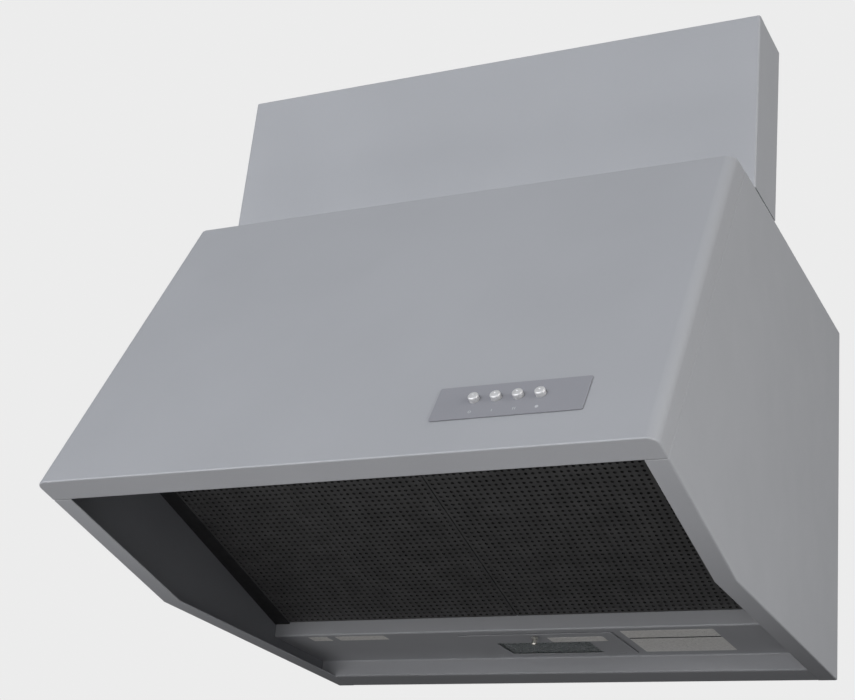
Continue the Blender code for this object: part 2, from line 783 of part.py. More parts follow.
def build_lamp_cover():
    """Plate under the trough with a window hole, a screw hole and two rear hooks."""
    top = TROUGH_HEIGHT - GAP
    low = top - SHEET
    plate = box("lamp_cover", (*LAMP_COVER_LOW, level(low)), (*LAMP_COVER_HIGH, level(top)))
    rear = LAMP_HOLE_HIGH[1]
    for x in HOOK_X:
        points = [
            (rear - 0.0020, top - SHEET / 2), (rear - 0.0010, top - SHEET / 2),
            (rear - 0.0010, top + 0.0033), (rear + 0.0018, top + 0.0033),
            (rear + 0.0018, top + 0.0043), (rear - 0.0020, top + 0.0043),
        ]
        loop = [(y, level(height)) for y, height in points]
        join(plate, outline("hook", [loop], x - HOOK_WIDTH / 2, x + HOOK_WIDTH / 2, side_frame()))
    window = box(
        "cover_window", (*LAMP_PANE_LOW, level(low - PAST)), (*LAMP_PANE_HIGH, level(top + PAST))
    )
    place = floor_frame(LAMP_SCREW_X, LAMP_SCREW_Y, low)
    hole = cylinder("cover_screw_hole", LAMP_SCREW_HOLE, -PAST, PAST, place, 16)
    return paint(cut(plate, window, hole), STEEL_PAINT)


def build_lamp_window():
    """Glass pane on the cover's upper side; its rear edge clears the trough sheet."""
    lap = 0.004
    low = (LAMP_PANE_LOW[0] - lap, LAMP_PANE_LOW[1] - lap, level(TROUGH_HEIGHT))
    high = (
        LAMP_PANE_HIGH[0] + lap, LAMP_PANE_HIGH[1] + 0.0022, level(TROUGH_HEIGHT + 3 * SHEET)
    )
    return paint(box("lamp_window", low, high), GLASS)


def build_lamp_thumbscrew():
    """Knurled head below the cover and a shank through the cover and the trough."""
    under = -SHEET - 2 * GAP
    shank = 0.002
    profile = [
        (0, 0.006), (shank, 0.006), (shank, under), (0.0030, under), (0.0036, under - 0.001),
        (0.0036, under - 0.003), (0.0024, under - 0.0038), (0.0024, under - 0.0058),
        (0.0034, under - 0.0066), (0.0034, under - 0.0086), (0.0020, under - 0.0096),
        (0, under - 0.0096),
    ]
    place = floor_frame(LAMP_SCREW_X, LAMP_SCREW_Y, TROUGH_HEIGHT)
    return paint(turned("lamp_thumbscrew", profile, place, 16), ZINC)


def build_lamp_housing():
    """Open-bottomed box over the trough's lamp hole."""
    low = (LAMP_HOLE_LOW[0] - LAMP_LAP, LAMP_HOLE_LOW[1] - LAMP_LAP)
    high = (LAMP_HOLE_HIGH[0] + LAMP_LAP, LAMP_HOLE_HIGH[1] + LAMP_LAP)
    base = TROUGH_HEIGHT + SHEET + GAP
    top = base + LAMP_HOUSING_HEIGHT
    shell = box("lamp_housing", (*low, level(base)), (*high, level(top)))
    hollow = box(
        "lamp_hollow", (low[0] + SHEET, low[1] + SHEET, level(base - PAST)),
        (high[0] - SHEET, high[1] - SHEET, level(top - SHEET)),
    )
    return paint(cut(shell, hollow), GALVANISED)


def build_lamp_socket_and_bulb():
    """Screw socket on the housing's left wall and the bulb in it, both along X."""
    wall = LAMP_HOLE_LOW[0] - LAMP_LAP + SHEET
    place = side_frame() @ Matrix.Translation((LAMP_BULB_Y, level(LAMP_BULB_HEIGHT), 0))
    socket = cylinder("lamp_socket", 0.0125, wall + GAP, wall + 0.028, place, 24)
    bore = cylinder("socket_bore", 0.0093, wall + 0.006, wall + 0.05, place, 24)
    paint(cut(socket, bore), DARK_PLASTIC)
    start = wall + 0.0065
    profile = [
        (0, start + 0.092), (0.0070, start + 0.0905), (0.0125, start + 0.086),
        (0.0162, start + 0.078), (0.0172, start + 0.068), (0.0160, start + 0.056),
        (0.0125, start + 0.042), (0.0088, start + 0.030), (0.0085, start + 0.002),
        (0.0050, start), (0, start),
    ]
    paint(turned("lamp_bulb", profile, place, 24), BULB_GLASS)


# ---------------------------------------------------------------- fan


def scroll_outline(shrink=0.0, rise=0.0):
    """Scroll seen from the front: a spiral from the cut-off above the axis, round the left
    and the bottom, to the right wall of the outlet. rise lengthens the outlet."""
    top = BODY_HEIGHT - SHEET - GAP - FAN_HEIGHT + rise
    points = [(shrink, SCROLL_START - shrink)]
    steps = 27
    for step in range(1, steps + 1):
        share = step / steps
        angle = math.radians(90 + 270 * share)
        radius = SCROLL_START + (SCROLL_END - SCROLL_START) * share - shrink
        points.append((radius * math.cos(angle), radius * math.sin(angle)))
    points += [(SCROLL_END - shrink, top), (shrink, top)]
    return points


def fan_frame():
    return wall_frame(FAN_X, FAN_HEIGHT)


def build_fan_casing():
    """Scroll of folded sheet with a round inlet in front and the outlet at the top."""
    place = fan_frame()
    casing = outline("fan_casing", [scroll_outline()], CASING_BACK, CASING_FRONT, place)
    hollow = outline(
        "casing_hollow", [scroll_outline(SHEET, PAST)],
        CASING_BACK + SHEET, CASING_FRONT - SHEET, place,
    )
    inlet = cylinder(
        "inlet_hole", INLET_RADIUS, CASING_FRONT - PAST, CASING_FRONT + PAST, place, 40
    )
    return paint(cut(casing, hollow, inlet), GALVANISED)


def build_inlet_ring():
    """Bellmouth: a flange on the casing that curls into the inlet."""
    neck = INLET_RADIUS - 0.0008
    wall = 0.0012
    face = CASING_FRONT + GAP
    profile = [
        (INLET_FLANGE, face + SHEET), (INLET_FLANGE, face), (neck, face), (neck, face - 0.007),
        (neck - wall, face - 0.007), (neck - wall, face - SHEET / 2),
        (neck + GAP, face + SHEET),
    ]
    return paint(turned("inlet_ring", profile, fan_frame(), 40), GALVANISED)


def impeller_ring(name, low):
    """Flat ring that carries the blades, from low to one ring's thickness above it."""
    high = low + IMPELLER_RING
    inner = IMPELLER_RADIUS - IMPELLER_BAND
    profile = [(IMPELLER_RADIUS, high), (IMPELLER_RADIUS, low), (inner, low), (inner, high)]
    return turned(name, profile, fan_frame(), 36)


def build_impeller():
    """Drum of pitched blades between two end rings, with a middle ring round the hub."""
    front = IMPELLER_FRONT - IMPELLER_RING
    drum = impeller_ring("fan_impeller", HUB_BACK)
    rings = [impeller_ring("back_ring", IMPELLER_BACK), impeller_ring("front_ring", front)]
    blades = []
    for index in range(IMPELLER_BLADES):
        turn = Matrix.Rotation(math.tau * (index + 0.37) / IMPELLER_BLADES, 4, "Z")
        pitch = Matrix.Rotation(BLADE_PITCH, 4, "Z")
        out = Matrix.Translation((IMPELLER_RADIUS - IMPELLER_BAND / 2, 0, 0))
        low = (-BLADE_SIZE[0] / 2, -BLADE_SIZE[1] / 2, IMPELLER_BACK + SHEET)
        high = (BLADE_SIZE[0] / 2, BLADE_SIZE[1] / 2, IMPELLER_FRONT - SHEET)
        blades.append(box("blade", low, high, fan_frame() @ turn @ out @ pitch))
    paint(join(drum, *rings, combine("blades", blades)), GALVANISED)


def build_impeller_hub():
    """Plate pressed into the middle ring, with a boss on the motor's shaft."""
    tip = HUB_BACK + HUB_THICK
    rim = IMPELLER_RADIUS - IMPELLER_BAND - GAP
    bore = SHAFT_RADIUS + GAP
    profile = [
        (0.012, tip), (0.012, HUB_BACK + IMPELLER_RING), (rim, HUB_BACK + IMPELLER_RING),
        (rim, HUB_BACK), (bore, HUB_BACK), (bore, tip),
    ]
    paint(turned("impeller_hub", profile, fan_frame(), 36), GALVANISED)


def build_motor():
    """Motor on the casing's rear wall, its shaft and the nut that holds the impeller."""
    place = fan_frame()
    back = CASING_BACK + SHEET + GAP
    bore = SHAFT_RADIUS + 0.0004
    profile = [
        (bore, MOTOR_FRONT), (0.014, MOTOR_FRONT), (0.014, MOTOR_FRONT - 0.006),
        (MOTOR_RADIUS - 0.006, MOTOR_FRONT - 0.008), (MOTOR_RADIUS, MOTOR_FRONT - 0.016),
        (MOTOR_RADIUS, back + 0.004), (0.054, back + 0.004), (0.054, back), (0, back),
        (0, MOTOR_FRONT - 0.014), (bore, MOTOR_FRONT - 0.014),
    ]
    motor = turned("fan_motor", closed_on_axis(profile), place, 32)
    paint(motor, MOTOR_ENAMEL)
    shaft = cylinder("motor_shaft", SHAFT_RADIUS, MOTOR_FRONT - 0.012, SHAFT_END, place, 20)
    paint(shaft, ZINC)
    seat = HUB_BACK + HUB_THICK + GAP
    nut = cylinder("impeller_nut", 0.0135, seat, seat + 0.012, place, 6)
    bore = cylinder("nut_bore", SHAFT_RADIUS + GAP, seat - PAST, seat + 0.012 + PAST, place, 20)
    paint(cut(nut, bore), DARK_PLASTIC)


def closed_on_axis(profile):
    """Rolls an outline so that it starts and ends on the axis."""
    on_axis = [i for i, (radius, _) in enumerate(profile) if radius == 0]
    start = on_axis[-1]
    return profile[start:] + profile[:start]


# ---------------------------------------------------------------- duct


def build_duct_collar():
    """Round collar with a base flange, and bores for the damper's pin."""
    base = BODY_HEIGHT + GAP
    top = base + DUCT_LENGTH
    inner = DUCT_RADIUS - SHEET
    profile = [
        (DUCT_RADIUS, top), (DUCT_RADIUS, base + SHEET), (DUCT_FLANGE, base + SHEET),
        (DUCT_FLANGE, base), (inner, base), (inner, top),
    ]
    collar = turned("duct_collar", profile, floor_frame(0, DUCT_Y), 48)
    reach = DUCT_RADIUS + PAST
    bore = cylinder("pin_bore", DAMPER_PIN_BORE, -reach, reach, damper_frame(), 16)
    return paint(cut(collar, bore), GALVANISED)


def damper_frame():
    """On the damper's pin, with local z along world X."""
    place = (0, DUCT_Y + DAMPER_OFFSET, level(DAMPER_HEIGHT))
    return axes_frame((0, 1, 0), (0, 0, 1), place)


def build_damper():
    flap = cylinder(
        "damper_flap", DAMPER_RADIUS, DAMPER_HEIGHT - 0.0035, DAMPER_HEIGHT - 0.0023,
        floor_frame(0, DUCT_Y), 40,
    )
    paint(flap, GALVANISED)
    reach = DUCT_RADIUS + 4 * SHEET
    pin = cylinder("damper_pin", DAMPER_PIN_RADIUS, -reach, reach, damper_frame(), 14)
    paint(pin, ZINC)


def build_collar_screws():
    middle = (DUCT_RADIUS + DUCT_FLANGE) / 2 + SHEET
    for index in range(4):
        angle = math.radians(45 + 90 * index)
        x = middle * math.cos(angle)
        y = DUCT_Y + middle * math.sin(angle)
        place = floor_frame(x, y, BODY_HEIGHT + SHEET + GAP)
        paint(screw_head("collar_screw_" + str(index + 1), place), ZINC)


# ---------------------------------------------------------------- controls


def button_places():
    return [BUTTON_FIRST_X + BUTTON_PITCH * i for i in range(len(BUTTON_NAMES))]


def build_switch_plate():
    """Thin cover plate on the face, with the four button holes."""
    place = face_frame(PANEL_X, PANEL_UP)
    plate = outline(
        "switch_plate", [rounded_rectangle(*PANEL_SIZE, 0.0015, 3)], GAP, GAP + 0.0008, place
    )
    for x in button_places():
        cut(plate, cylinder("plate_hole", BUTTON_HOLE, -PAST, PAST, face_frame(x, BUTTON_UP)))
    return paint(plate, PLATE_FILM)


def build_buttons():
    """Push buttons: a domed cap outside, a collar and a stem inside the face."""
    under = -SHEET - GAP
    for name, x in zip(BUTTON_NAMES, button_places()):
        profile = [
            (0, BUTTON_STAND), (0.0022, BUTTON_STAND - 0.0003), (0.0038, BUTTON_STAND - 0.0011),
            (BUTTON_RADIUS, BUTTON_STAND - 0.0024), (BUTTON_RADIUS, under),
            (BUTTON_COLLAR, under), (BUTTON_COLLAR, under - SHEET), (BUTTON_STEM, under - SHEET),
            (BUTTON_STEM, -BUTTON_FOOT), (0, -BUTTON_FOOT),
        ]
        button = turned(name, profile, face_frame(x, BUTTON_UP), 24)
        paint(button, BUTTON_METAL)


def build_switch_block():
    """Switch block behind the buttons, the bent bracket that holds it, and its screws."""
    middle = sum(button_places()) / len(BUTTON_NAMES)
    place = face_frame(middle, BUTTON_UP)
    half_x, half_y = SWITCH_HALF
    block = box(
        "switch_block", (-half_x, -half_y, -SWITCH_BACK), (half_x, half_y, -SWITCH_FRONT), place
    )
    paint(block, DARK_PLASTIC)
    near = SHEET + GAP
    deep = SWITCH_BACK + GAP
    foot = BRACKET_FOOT
    web = BRACKET_WEB
    thick = BRACKET_SHEET
    points = [
        (-foot, -near), (-foot, -near - thick), (-web - thick, -near - thick),
        (-web - thick, -deep - thick), (web + thick, -deep - thick),
        (web + thick, -near - thick), (foot, -near - thick), (foot, -near), (web, -near),
        (web, -deep), (-web, -deep), (-web, -near),
    ]
    side_on = place @ axes_frame((1, 0, 0), (0, 0, 1))
    paint(outline("switch_bracket", [points], -0.011, 0.011, side_on), GALVANISED)
    for word, side in (("left", -1), ("right", 1)):
        inwards = Matrix.Rotation(math.pi, 4, "X")
        spot = place @ Matrix.Translation((side * (foot + web) / 2, 0, -near - thick)) @ inwards
        paint(screw_head("switch_screw_" + word, spot, radius=0.003), ZINC)


# ---------------------------------------------------------------- electrics


def build_terminal_box():
    """Terminal box on the back plate, its lid and the terminal block inside."""
    base = SHEET + GAP
    top = base + TERMINAL_DEPTH
    half_x, half_y = TERMINAL_HALF
    wall = TERMINAL_WALL
    place = wall_frame(TERMINAL_X, TERMINAL_HEIGHT)
    case = box("terminal_box", (-half_x, -half_y, base), (half_x, half_y, top), place)
    hollow = box(
        "terminal_hollow", (wall - half_x, wall - half_y, base + wall),
        (half_x - wall, half_y - wall, top + PAST), place,
    )
    paint(cut(case, hollow), GREY_PLASTIC)
    shape = rounded_rectangle(2 * half_x + wall, 2 * half_y + wall, 2 * wall)
    lid = outline("terminal_lid", [shape], top + GAP, top + GAP + wall, place)
    paint(lid, GREY_PLASTIC)
    floor = base + wall + GAP
    block = box("terminal_block", (-0.035, -0.030, floor), (0.035, -0.008, floor + 0.020), place)
    paint(block, DARK_PLASTIC)


def build_capacitor():
    """Motor capacitor, lying along X just off the back plate."""
    y = -SHEET - CAPACITOR_RADIUS - 0.0028
    place = axes_frame((0, 1, 0), (0, 0, 1), (TERMINAL_X, y, level(CAPACITOR_HEIGHT)))
    can = cylinder("motor_capacitor", CAPACITOR_RADIUS, -0.032, 0.032, place, 24)
    paint(can, GREY_PLASTIC)


def build_mains_gland():
    """Gland for the mains lead, through the top plate."""
    profile = [
        (0.0100, 0.016), (0.0125, 0.010), (0.0125, GAP), (0.0080, GAP), (0.0080, -0.012),
        (0.0045, -0.012), (0.0045, 0.016),
    ]
    gland = turned("mains_gland", profile, floor_frame(*GLAND_PLACE, BODY_HEIGHT), 24)
    paint(gland, DARK_PLASTIC)


def build_leads():
    """Inner leads, held at both ends: switch, motor and lamp to the terminal box."""
    reach = TERMINAL_HALF[1] + GAP + 0.0002
    box_top = level(TERMINAL_HEIGHT + reach)
    box_low = level(TERMINAL_HEIGHT - reach)
    behind = 0.018
    start_y, start_z = face_point(BUTTON_UP + SWITCH_HALF[1] + 2 * GAP, behind)
    switch_y, switch_z = face_point(0.110, behind)
    upper_y, upper_z = face_point(0.330, behind)
    routes = {
        "switch_lead": [
            (0.185, start_y, start_z), (0.185, switch_y, switch_z), (0.200, upper_y, upper_z),
            (0.205, -0.330, level(0.388)), (0.205, -0.120, level(0.388)),
            (0.205, -0.045, level(0.386)), (0.205, -0.026, level(0.377)), (0.205, -0.026, box_top),
        ],
        "motor_lead": [
            (0.0745, -0.032, level(0.300)), (0.095, -0.032, level(0.300)),
            (0.130, -0.026, level(0.300)), (0.1495, -0.026, level(0.300)),
        ],
        "lamp_lead": [
            (0.0960, -0.095, level(0.048)), (0.125, -0.092, level(0.053)),
            (0.155, -0.070, level(0.110)), (0.160, -0.030, level(0.190)),
            (0.160, -0.026, level(0.225)), (0.160, -0.026, box_low),
        ],
    }
    for name, points in routes.items():
        paint(tube(name, points, LEAD_RADIUS), LEAD)


def build_hood():
    build_front_panel()
    build_side_panel("side_panel_left", -1)
    build_side_panel("side_panel_right", 1)
    build_top_plate()
    build_back_plate()
    build_rear_trough()
    build_front_liner()
    build_curtain_panel()
    build_curtain_bracket("left", -1)
    build_curtain_bracket("right", 1)
    build_filters()
    build_filter_rail("filter_rail_left", -1)
    build_filter_rail("filter_rail_right", 1)
    build_filter_catches()
    build_lamp_cover()
    build_lamp_window()
    build_lamp_thumbscrew()
    build_lamp_housing()
    build_lamp_socket_and_bulb()
    build_fan_casing()
    build_inlet_ring()
    build_impeller()
    build_impeller_hub()
    build_motor()
    build_duct_collar()
    build_damper()
    build_collar_screws()
    build_switch_plate()
    build_buttons()
    build_switch_block()
    build_terminal_box()
    build_capacitor()
    build_mains_gland()
    build_leads()


build_hood()
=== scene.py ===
import json
import math

import bmesh
import bpy
from mathutils import Matrix, Vector


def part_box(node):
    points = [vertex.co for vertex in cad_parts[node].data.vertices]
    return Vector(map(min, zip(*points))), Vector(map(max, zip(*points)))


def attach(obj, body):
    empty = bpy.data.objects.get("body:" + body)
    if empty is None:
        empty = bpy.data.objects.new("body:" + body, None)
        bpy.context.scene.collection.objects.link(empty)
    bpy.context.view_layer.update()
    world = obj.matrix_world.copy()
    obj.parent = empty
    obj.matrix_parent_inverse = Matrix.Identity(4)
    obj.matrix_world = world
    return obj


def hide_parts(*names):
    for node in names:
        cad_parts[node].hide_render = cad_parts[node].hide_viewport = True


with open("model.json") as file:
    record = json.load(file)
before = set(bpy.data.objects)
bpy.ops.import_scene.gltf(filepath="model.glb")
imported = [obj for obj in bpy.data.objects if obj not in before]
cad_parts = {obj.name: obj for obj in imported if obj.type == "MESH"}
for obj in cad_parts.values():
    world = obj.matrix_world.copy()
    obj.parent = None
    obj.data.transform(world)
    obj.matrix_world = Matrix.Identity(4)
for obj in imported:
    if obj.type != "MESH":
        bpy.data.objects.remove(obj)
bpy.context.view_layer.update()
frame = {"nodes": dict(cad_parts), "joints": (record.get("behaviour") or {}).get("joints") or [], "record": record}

# Metres throughout. The wall is the plane Y = 0, the front faces -Y, and +Z is up.
SHEET = 0.0010  # thickness of the folded sheet
SCREW_BORE = 0.0024  # radius of the thumbscrew's hole
EDGE = 0.00022  # how far a cut edge is softened
BEND = 0.0016  # outer radius of a fold
FACE_RADIUS = 0.0110  # upright edges of the face
CURTAIN_RADIUS = 0.0025

HOLE_PITCH = (0.0071, 0.0069)  # perforated filter sheet, across and up the filter
HOLE_RADIUS = 0.0018
HOLE_SIDES = 12
FILTER_RIM = 0.0140
FILTER_THICK = 0.0100
FILTER_SHEET = 0.0009
PLEAT_PITCH = 0.0075

CAMERA_PLACE = (0.7120, -1.7229, -0.6101)
CAMERA_TURN = (112.767, -4.945, 24.154)  # degrees about X, Y and Z
CAMERA_LENS = 70.30
CAMERA_SHIFT = (-0.0745, 0.0262)
WORLD_FADE = (-0.10, 0.30, 0.05, 0.38)  # heights of the fade, and the strengths there

FLOOR_HEIGHT = -3.20
FLOOR_HALF = 16.0  # half the width of the floor
FLOOR_GLOW = 0.35
DOME_RADIUS = 15.0
DOME_GLOW = 0.84
MIDDLE = (0, -0.3, 0)
UNDER_LIP = (0, -0.5, -0.19)
LIGHTS = (  # name, place, target, size, watts and colour
    ("front", (-1.4, -4.1, 0.8), MIDDLE, (4.4, 1.6), 122, (0.95, 0.97, 1.0)),
    ("right", (3.6, -1.4, 0.6), MIDDLE, (2.4, 2.4), 82, (1.0, 0.99, 0.96)),
    ("low", (0.02, -0.78, -0.60), UNDER_LIP, (2.0, 0.3), 4.6, (1.0, 0.99, 0.98)),
    ("behind", (-1.6, 2.6, 1.6), MIDDLE, (2.2, 1.8), 40, (1.0, 1.0, 1.0)),
)

HOOK_X = (-0.060, 0.083)  # the lamp cover's rear hooks
BUTTONS = ("button_off", "button_low", "button_high", "button_light")
BUTTON_RADIUS = 0.00475
MARK_DROP = 0.0158  # from a button down to its mark
COLLAR_RADIUS = 0.075
MOTOR_RADIUS = 0.042
INLET_NECK = 0.0872
FAN_BLADES = 36

X_AXIS = Vector((1, 0, 0))


# ---- places read from the frame


def low(node):
    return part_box(node)[0]


def high(node):
    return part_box(node)[1]


def centre(node):
    return (low(node) + high(node)) / 2


def corners(node):
    """Every corner of a CAD node's mesh."""
    return [vert.co.copy() for vert in frame["nodes"][node].data.vertices]


def extent(node):
    return high(node) - low(node)


def local_box(node, place):
    """Lowest and highest corner of a node, in a frame's own axes."""
    inverse = place.inverted()
    points = [inverse @ point for point in corners(node)]
    return [Vector([pick(p[i] for p in points) for i in range(3)]) for pick in (min, max)]


def on_foot(node):
    """Upright frame in the middle of a node's underside."""
    middle = centre(node)
    return Matrix.Translation((middle.x, middle.y, low(node).z))


def side_corner(node, *order):
    """(y, z) of the corner that comes first in the given order, such as "-y" or "z"."""
    def rank(point):
        keys = []
        for word in order:
            value = getattr(point, word[-1])
            keys.append(-round(value, 5) if not word.startswith("-") else round(value, 5))
        return keys
    first = min(corners(node), key=rank)
    return Vector((first.y, first.z))


FACE_FOOT = side_corner("front_panel", "-y")
FACE_HEAD = side_corner("front_panel", "z", "-y")
FACE_UP = Vector((0, *(FACE_HEAD - FACE_FOOT))).normalized()
FACE_OUT = X_AXIS.cross(FACE_UP)
HALF_WIDTH = high("front_panel").x


def axes_frame(x_dir, y_dir, origin):
    """Frame with the given X and Y directions; Z completes it right-handed."""
    x_dir = Vector(x_dir)
    y_dir = Vector(y_dir)
    place = Matrix((x_dir, y_dir, x_dir.cross(y_dir))).transposed().to_4x4()
    place.translation = Vector(origin)
    return place


def face_frame(x=0.0, up=0.0):
    """On the face: local y runs up it, local z comes out of it."""
    origin = Vector((x, *FACE_FOOT)) + FACE_UP * up
    return axes_frame(X_AXIS, FACE_UP, origin)


def up_face(node):
    """How far a node's middle is above the face's bottom edge, measured along the face."""
    return (centre(node) - Vector((0, *FACE_FOOT))).dot(FACE_UP)


# ---- materials


class Look:
    """A Principled material that is built up from procedural textures in metres."""

    def __init__(self, name, colour, rough, metallic=0.0, **more):
        self.material = bpy.data.materials.new(name)
        self.material.use_nodes = True
        self.tree = self.material.node_tree
        self.shader = self.tree.nodes["Principled BSDF"]
        self.colour = colour
        self.rough = rough
        self.place = self.node("ShaderNodeTexCoord").outputs["Object"]
        self.put("Base Color", (*colour, 1))
        self.put("Roughness", rough)
        self.put("Metallic", metallic)
        for socket, value in more.items():
            self.put(socket.replace("_", " "), value)

    def put(self, socket, value):
        self.shader.inputs[socket].default_value = value

    def node(self, kind, **settings):
        made = self.tree.nodes.new(kind)
        for key, value in settings.items():
            setattr(made, key, value)
        return made

    def join(self, source, node, socket):
        self.tree.links.new(source, node.inputs[socket])

    def noise(self, scale, detail=3.0, stretch=None):
        made = self.node("ShaderNodeTexNoise")
        made.inputs["Scale"].default_value = scale
        made.inputs["Detail"].default_value = detail
        self.join(self.stretched(stretch), made, "Vector")
        return made.outputs["Fac"]

    def stretched(self, stretch):
        if stretch is None:
            return self.place
        mapping = self.node("ShaderNodeMapping")
        mapping.inputs["Scale"].default_value = stretch
        self.join(self.place, mapping, "Vector")
        return mapping.outputs["Vector"]

    def clouds(self, scale, detail=3.0, stretch=None):
        """Noise spread over the whole of 0 to 1."""
        return self.spread(self.noise(scale, detail, stretch), 0.3, 0.7, 0, 1)

    def cells(self, scale, output="Color"):
        made = self.node("ShaderNodeTexVoronoi")
        made.inputs["Scale"].default_value = scale
        self.join(self.place, made, "Vector")
        return made.outputs[output]

    def spread(self, source, start, end, lowest, highest):
        """Maps the texture's values from start..end onto lowest..highest."""
        made = self.node("ShaderNodeMapRange")
        for socket, value in zip(
            ("From Min", "From Max", "To Min", "To Max"), (start, end, lowest, highest)
        ):
            made.inputs[socket].default_value = value
        self.join(source, made, "Value")
        return made.outputs["Result"]

    def tint(self, source, dark, light):
        """Colour that runs from dark to light times the base colour as source rises."""
        made = self.node("ShaderNodeMix", data_type="RGBA")
        made.inputs["A"].default_value = (*[c * dark for c in self.colour], 1)
        made.inputs["B"].default_value = (*[min(c * light, 1) for c in self.colour], 1)
        self.join(source, made, "Factor")
        return made.outputs["Result"]

    def add(self, first, second, weight):
        """The first texture plus weight times the second."""
        made = self.node("ShaderNodeMath", operation="MULTIPLY_ADD")
        made.inputs[1].default_value = weight
        self.join(second, made, 0)
        self.join(first, made, 2)
        return made.outputs["Value"]

    def base(self, source):
        self.join(source, self.shader, "Base Color")

    def roughness(self, source, swing):
        self.join(
            self.spread(source, 0.3, 0.7, self.rough - swing, self.rough + swing),
            self.shader, "Roughness",
        )

    def bump(self, source, height):
        """Relief whose highest and lowest points are height metres apart."""
        made = self.node("ShaderNodeBump")
        made.inputs["Distance"].default_value = height
        made.inputs["Strength"].default_value = 1.0
        self.join(source, made, "Height")
        self.join(made.outputs["Normal"], self.shader, "Normal")

    def finish(self, tone, tint, gloss, swing, relief, height):
        """Colour from the first texture, gloss from the second and relief from the third."""
        self.base(self.tint(tone, *tint))
        self.roughness(gloss, swing)
        self.bump(relief, height)
        return self.material


def powder_coat(name, colour, rough=0.52, metallic=0.10, mottle=0.03, peel=0.00002):
    """Satin coat: faint mottling, fine metallic flakes and orange peel."""
    look = Look(name, colour, rough, metallic, Coat_Weight=0.06, Coat_Roughness=0.45)
    flakes = look.spread(look.cells(1400, "Distance"), 0.1, 0.6, 0, 1)
    tone = look.spread(look.add(look.clouds(7.0, 2.0), flakes, 0.8), 0.2, 1.6, 0, 1)
    skin = look.add(look.noise(420, 2.0), look.noise(2600, 1.0), 0.35)
    return look.finish(tone, (1 - mottle, 1 + mottle), look.noise(24.0, 4.0), 0.035, skin, peel)


def zinc_sheet(name, colour, rough, scale=95.0):
    """Galvanised sheet: large flat spangles, each with its own tone and gloss."""
    look = Look(name, colour, rough, 0.85)
    spangle = look.node("ShaderNodeSeparateColor")
    look.join(look.cells(scale), spangle, "Color")
    tone = look.add(look.spread(spangle.outputs["Red"], 0, 1, 0, 0.8), look.noise(600, 3.0), 0.4)
    gloss = look.spread(spangle.outputs["Green"], 0, 1, 0.3, 0.7)
    relief = look.add(look.noise(900, 3.0), spangle.outputs["Blue"], 0.3)
    tone = look.spread(tone, 0.1, 1.1, 0, 1)
    return look.finish(tone, (0.82, 1.12), gloss, 0.09, relief, 0.000012)


def brushed_metal(name, colour, rough, stretch, metallic=0.95):
    """Turned or drawn metal with fine lines along one direction."""
    look = Look(name, colour, rough, metallic)
    lines = look.noise(700, 4.0, stretch)
    tone = look.spread(lines, 0.3, 0.7, 0, 1)
    return look.finish(tone, (0.86, 1.10), look.noise(80, 3.0), 0.06, lines, 0.00001)


def moulded_plastic(name, colour, rough, grain=1500.0):
    """Moulded plastic with a fine spark-eroded grain and slight flow marks."""
    look = Look(name, colour, rough)
    flow = look.clouds(30, 3.0, (1, 1, 0.3))
    grains = look.noise(grain, 2.0)
    return look.finish(flow, (0.90, 1.10), look.noise(160, 2.0), 0.05, grains, 0.00003)


def black_enamel(name, colour, rough):
    """Black baked enamel with a dry, slightly dusty surface."""
    look = Look(name, colour, rough)
    dust = look.spread(look.noise(45, 5.0), 0.35, 0.75, 0, 1)
    grains = look.noise(1300, 2.0)
    return look.finish(dust, (0.85, 1.25), look.noise(140, 3.0), 0.06, grains, 0.00002)


def frosted_glass(name, colour, rough):
    look = Look(name, colour, rough, Transmission_Weight=0.55, IOR=1.5)
    frost = look.cells(900, "Distance")
    return look.finish(look.clouds(60), (0.94, 1.06), look.noise(300, 3.0), 0.08, frost, 0.00003)


def opal_glass(name, colour, rough):
    look = Look(name, colour, rough, Subsurface_Weight=0.3, Coat_Weight=0.4)
    waves = look.noise(500, 1.0)
    tone = look.clouds(90, 2.0)
    return look.finish(tone, (0.95, 1.03), look.noise(200, 2.0), 0.03, waves, 0.000008)


def label_film(name, colour, rough):
    """Blank silver film label with a fibrous, slightly scuffed face."""
    look = Look(name, colour, rough, 0.05)
    scuffs = look.noise(260, 6.0, (1, 3, 1))
    tone = look.spread(scuffs, 0.3, 0.7, 0, 1)
    return look.finish(tone, (0.80, 1.15), look.noise(500, 3.0), 0.10, scuffs, 0.00002)


def motor_enamel(name, colour, rough):
    look = Look(name, colour, rough, 0.2, Coat_Weight=0.2)
    grains = look.noise(800, 3.0)
    tone = look.clouds(120, 4.0)
    return look.finish(tone, (0.85, 1.15), look.noise(200, 3.0), 0.07, grains, 0.00004)


